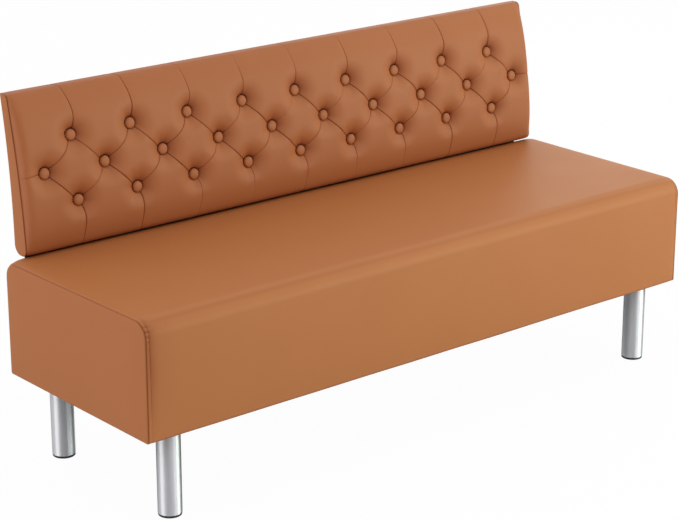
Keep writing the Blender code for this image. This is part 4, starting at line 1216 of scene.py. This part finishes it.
# %% Bolts on their bars
BOLT_RADIUS, BOLT_HEIGHT, SHANK_RADIUS, SHANK_LENGTH = 0.007, 0.0035, 0.003, 0.024
SOCKET, SOCKET_FLOOR, SOCKET_GROWTH, HEAD_SKIRT = 0.0022, 0.0012, 1.1, 0.001
HEAD_ROUND = ((0.55, 1.0), (0.74, 0.93), (0.90, 0.70), (0.98, 0.36), (1.0, 0.0))
SIXTH = math.pi / 3


def bolt_mesh(place):
    head = [(BOLT_RADIUS * x, BOLT_HEIGHT * y) for x, y in HEAD_ROUND]
    profile = [(0, SOCKET_FLOOR), (SOCKET, SOCKET_FLOOR), (SOCKET, BOLT_HEIGHT), *head,
               (BOLT_RADIUS, -HEAD_SKIRT), (SHANK_RADIUS, -HEAD_SKIRT), (SHANK_RADIUS, -SHANK_LENGTH),
               (0, -SHANK_LENGTH)]
    bm = turned(profile, 36)
    for vertex in bm.verts:
        if abs(vertex.co.xy.length - SOCKET) < 1e-5:
            turn = math.atan2(vertex.co.y, vertex.co.x) % SIXTH - SIXTH / 2
            vertex.co.xy = vertex.co.xy * (math.cos(SIXTH / 2) / math.cos(turn)) * SOCKET_GROWTH
    return aimed(bm, Vector((0, 1, 0)), place)


def add_mesh(bm, other, material_index):
    for face in other.faces:
        face.material_index = material_index
    mesh = bpy.data.meshes.new("joined")
    other.to_mesh(mesh)
    other.free()
    bm.from_mesh(mesh)
    bpy.data.meshes.remove(mesh)


bolt_places = [(SEAT_DEPTH, z) for z in seat_bolts] + [(back_rear(z), z) for z in back_bolts]
for number in (1, 2, 3):
    node = f"back_bracket_{number}"
    middle = middle_of(node).x
    bm = bar_mesh(middle)
    for y, z in bolt_places:
        add_mesh(bm, bolt_mesh((middle, y + BAR_GAP + BAR_THICKNESS, z)), 1)
    bar = make_piece(f"carrying_bar_{number}", bm, painted_steel, [node], sharp_above=35.0)
    bar.data.materials.append(zinc)
print("three bars of", len(bar.data.polygons), "faces, bolts included")

# %% [markdown]
# ## Dust cover
# A black felted cloth closes the underside inside the leather hems. It is stapled tight, so it only sags a
# millimetre or so between the frame's boards, and it has a small hole for each leg's stud.

# %% Dust cover under the frame
CLOTH_SAG, CLOTH_CRUMPLE, CLOTH_RISE, CLOTH_THICKNESS = 0.0012, 0.0003, 0.0006, 0.0005
CLOTH_COLUMNS, CLOTH_ROWS, SAG_POWER, CRUMPLES = 260, 78, 0.6, 28
STUD_HOLE, STUD_CLEAR = 0.0055, 0.09
dust_low, dust_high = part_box("dust_cover")
cloth_size = (dust_high.x - dust_low.x, dust_high.y - dust_low.y)
studs = [middle_of(f"leg_{c}") for c in CORNERS]
bm = bmesh.new()
bmesh.ops.create_grid(bm, x_segments=CLOTH_COLUMNS, y_segments=CLOTH_ROWS, size=0.5)
for vertex in bm.verts:
    u, v = vertex.co.x + 0.5, vertex.co.y + 0.5
    spot = Vector((dust_low.x + cloth_size[0] * u, dust_low.y + cloth_size[1] * v, 0))
    free = min(1.0, min((spot - stud).length for stud in studs) / STUD_CLEAR) ** 2 * math.sin(math.pi * v)
    sag = CLOTH_SAG * abs(math.sin(2 * math.pi * u)) ** SAG_POWER * free
    crumple = CLOTH_CRUMPLE * noise.noise(spot * CRUMPLES) * free
    vertex.co = (spot.x, spot.y, dust_low.z + CLOTH_RISE - sag + crumple)
holes = [f for f in bm.faces if min((f.calc_center_median().xy - s.xy).length for s in studs) < STUD_HOLE]
bmesh.ops.delete(bm, geom=holes, context="FACES")
bmesh.ops.reverse_faces(bm, faces=bm.faces)
dust = make_piece("dust_cover_cloth", bm, cloth, ["dust_cover"], moved=False)
add_thickness(dust, CLOTH_THICKNESS)
print(dust.name, "cut to", [round(x, 3) for x in cloth_size], "m;", len(holes), "faces left out at the studs")

# %% [markdown]
# ## Timber, plywood and foam inside
# The frame's boards have the right shape already, so their solids stay and only get a finish with the grain
# along the bench. The two foams are soft, so a merged copy of each solid stands for it, let in a little
# where the leather is drawn down into its seams.

# %% Inner pieces
FOAM_GIVE = 0.004
for node in ("front_rail", "rear_rail", "end_rail_left", "end_rail_right", "centre_rail", "leg_board_left",
             "leg_board_right", "seat_deck", "back_board"):
    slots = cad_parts[node].data.materials
    slots.clear()
    slots.append(plywood if node in ("seat_deck", "back_board") else timber)
for node in ("seat_foam", "back_foam"):
    bm = bmesh.new()
    bm.from_mesh(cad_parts[node].data)
    bmesh.ops.remove_doubles(bm, verts=bm.verts, dist=1e-5)
    for vertex in bm.verts:
        vertex.co -= vertex.normal * FOAM_GIVE
    filling = make_piece(f"{node}_block", bm, foam, [node], moved=False)
    print(filling.name, len(filling.data.polygons), "faces")

# %% [markdown]
# ## Floor
# The bench stands on a pale floor. What the camera sees of it is lifted towards white, as in a product
# picture, by mixing in a glow for camera rays; some of the floor's own light stays, and with it the bench's
# shadow. What chrome mirrors of it is lifted only a little.

# %% Floor
FLOOR_HALF, FLOOR_LIFT, MIRROR_LIFT = 30.0, 0.97, 0.1
bm = bmesh.new()
bmesh.ops.create_grid(bm, x_segments=1, y_segments=1, size=FLOOR_HALF)
floor_mesh = bpy.data.meshes.new("floor")
bm.to_mesh(floor_mesh)
bm.free()
floor = bpy.data.objects.new("floor", floor_mesh)
bpy.context.scene.collection.objects.link(floor)
floor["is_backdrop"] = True
pale = Finish("pale_floor")
lit = pale.node("ShaderNodeBsdfDiffuse", {"Color": (0.74, 0.74, 0.74, 1)})
glow = pale.node("ShaderNodeEmission", {"Color": (1, 1, 1, 1), "Strength": 1.0})
lift = pale.node("ShaderNodeLightPath", output="Is Camera Ray") * FLOOR_LIFT
lift += pale.node("ShaderNodeLightPath", output="Is Glossy Ray") * MIRROR_LIFT
mixed = pale.node("ShaderNodeMixShader", {0: lift, 1: lit, 2: glow})
pale.feed(pale.nodes["Material Output"].inputs["Surface"], mixed)
floor_mesh.materials.append(pale.block)
print("floor of", 2 * FLOOR_HALF, "m")

# %% [markdown]
# ## Lamps and room
# The light is soft. A large lamp at the front right, with a smaller one near the middle, draws the shade in
# each dimple; one high on the right lights the seat's top, one low on the left the end panel, and a weak
# one behind on the right the edges. The room is lit from above and from the backdrop. Chrome mirrors it:
# white towards the sides, and dark towards the unlit end of the studio, so each leg gets a dark line
# between white bands.

# %% Lamps and world
MIDDLE = (0.0, 0.0, 0.45)
UNLIT_END, DARK_EDGE, DARK_CORE = (-0.6516, -0.7586, 0.0), 0.86, 0.98


def add_lamp(name, place, size, power, colour=(1, 1, 1)):
    lamp = bpy.data.lights.new(name, "AREA")
    lamp.shape, lamp.size, lamp.size_y = "RECTANGLE", size[0], size[1]
    lamp.energy, lamp.color = power, colour
    holder = bpy.data.objects.new(name, lamp)
    holder.location = place
    holder.rotation_euler = (Vector(MIDDLE) - Vector(place)).to_track_quat("-Z", "Y").to_euler()
    bpy.context.scene.collection.objects.link(holder)


add_lamp("front_right_softbox", (2.8, -3.0, 1.2), (2.4, 1.5), 71, (0.86, 1.0, 0.82))
add_lamp("front_softbox", (0.8, -4.4, 0.9), (1.6, 1.2), 20)
add_lamp("right_softbox", (3.2, -0.6, 2.8), (1.6, 1.2), 16, (0.81, 1.0, 0.76))
add_lamp("left_softbox", (-3.2, 0.4, 0.5), (1.8, 0.9), 17, (1.0, 0.96, 0.92))
add_lamp("rim_softbox", (3.1, 2.6, 1.6), (1.6, 1.2), 8, (1.0, 0.98, 0.75))

bpy.context.scene.world = bpy.data.worlds.new("room")
room = Finish("room", bpy.context.scene.world)
towards = room.node("ShaderNodeTexCoord")


def rises(axis, start, end):
    """From 0 to 1, as a direction in the room turns towards an axis."""
    along = room.node("ShaderNodeVectorMath", {0: towards, 1: axis}, output="Value", operation="DOT_PRODUCT")
    return room.node("ShaderNodeMapRange", {"Value": along, "From Min": start, "From Max": end})


overhead = rises((0, 0, 1), 0.25, 0.60)
backdrop = rises((0, 1, 0), -0.2, 0.3)
unlit = rises(UNLIT_END, DARK_EDGE, DARK_CORE)
seen = room.node("ShaderNodeLightPath", output="Is Camera Ray")
in_chrome = room.node("ShaderNodeLightPath", output="Is Glossy Ray")
level = overhead + (1.0 - overhead) * backdrop
white = (seen + in_chrome * (1.0 - overhead) * (1.0 - unlit)).at_most(1.0)
back = room.nodes["Background"]
back.inputs["Color"].default_value = (1, 1, 1, 1)
room.feed(back.inputs["Strength"], (level + white * (1.0 - level)) * (1.0 - in_chrome * unlit))
bpy.context.scene.view_settings.view_transform = "Standard"

# %% [markdown]
# The dressed bench has to fill the same box as the CAD model, apart from a little softness. Both boxes are
# printed.

# %% Print both boxes
new_low, new_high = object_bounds()
for name, box in (("CAD", cad_high - cad_low), ("visual", new_high - new_low)):
    print(name, "box", [round(x, 4) for x in box])
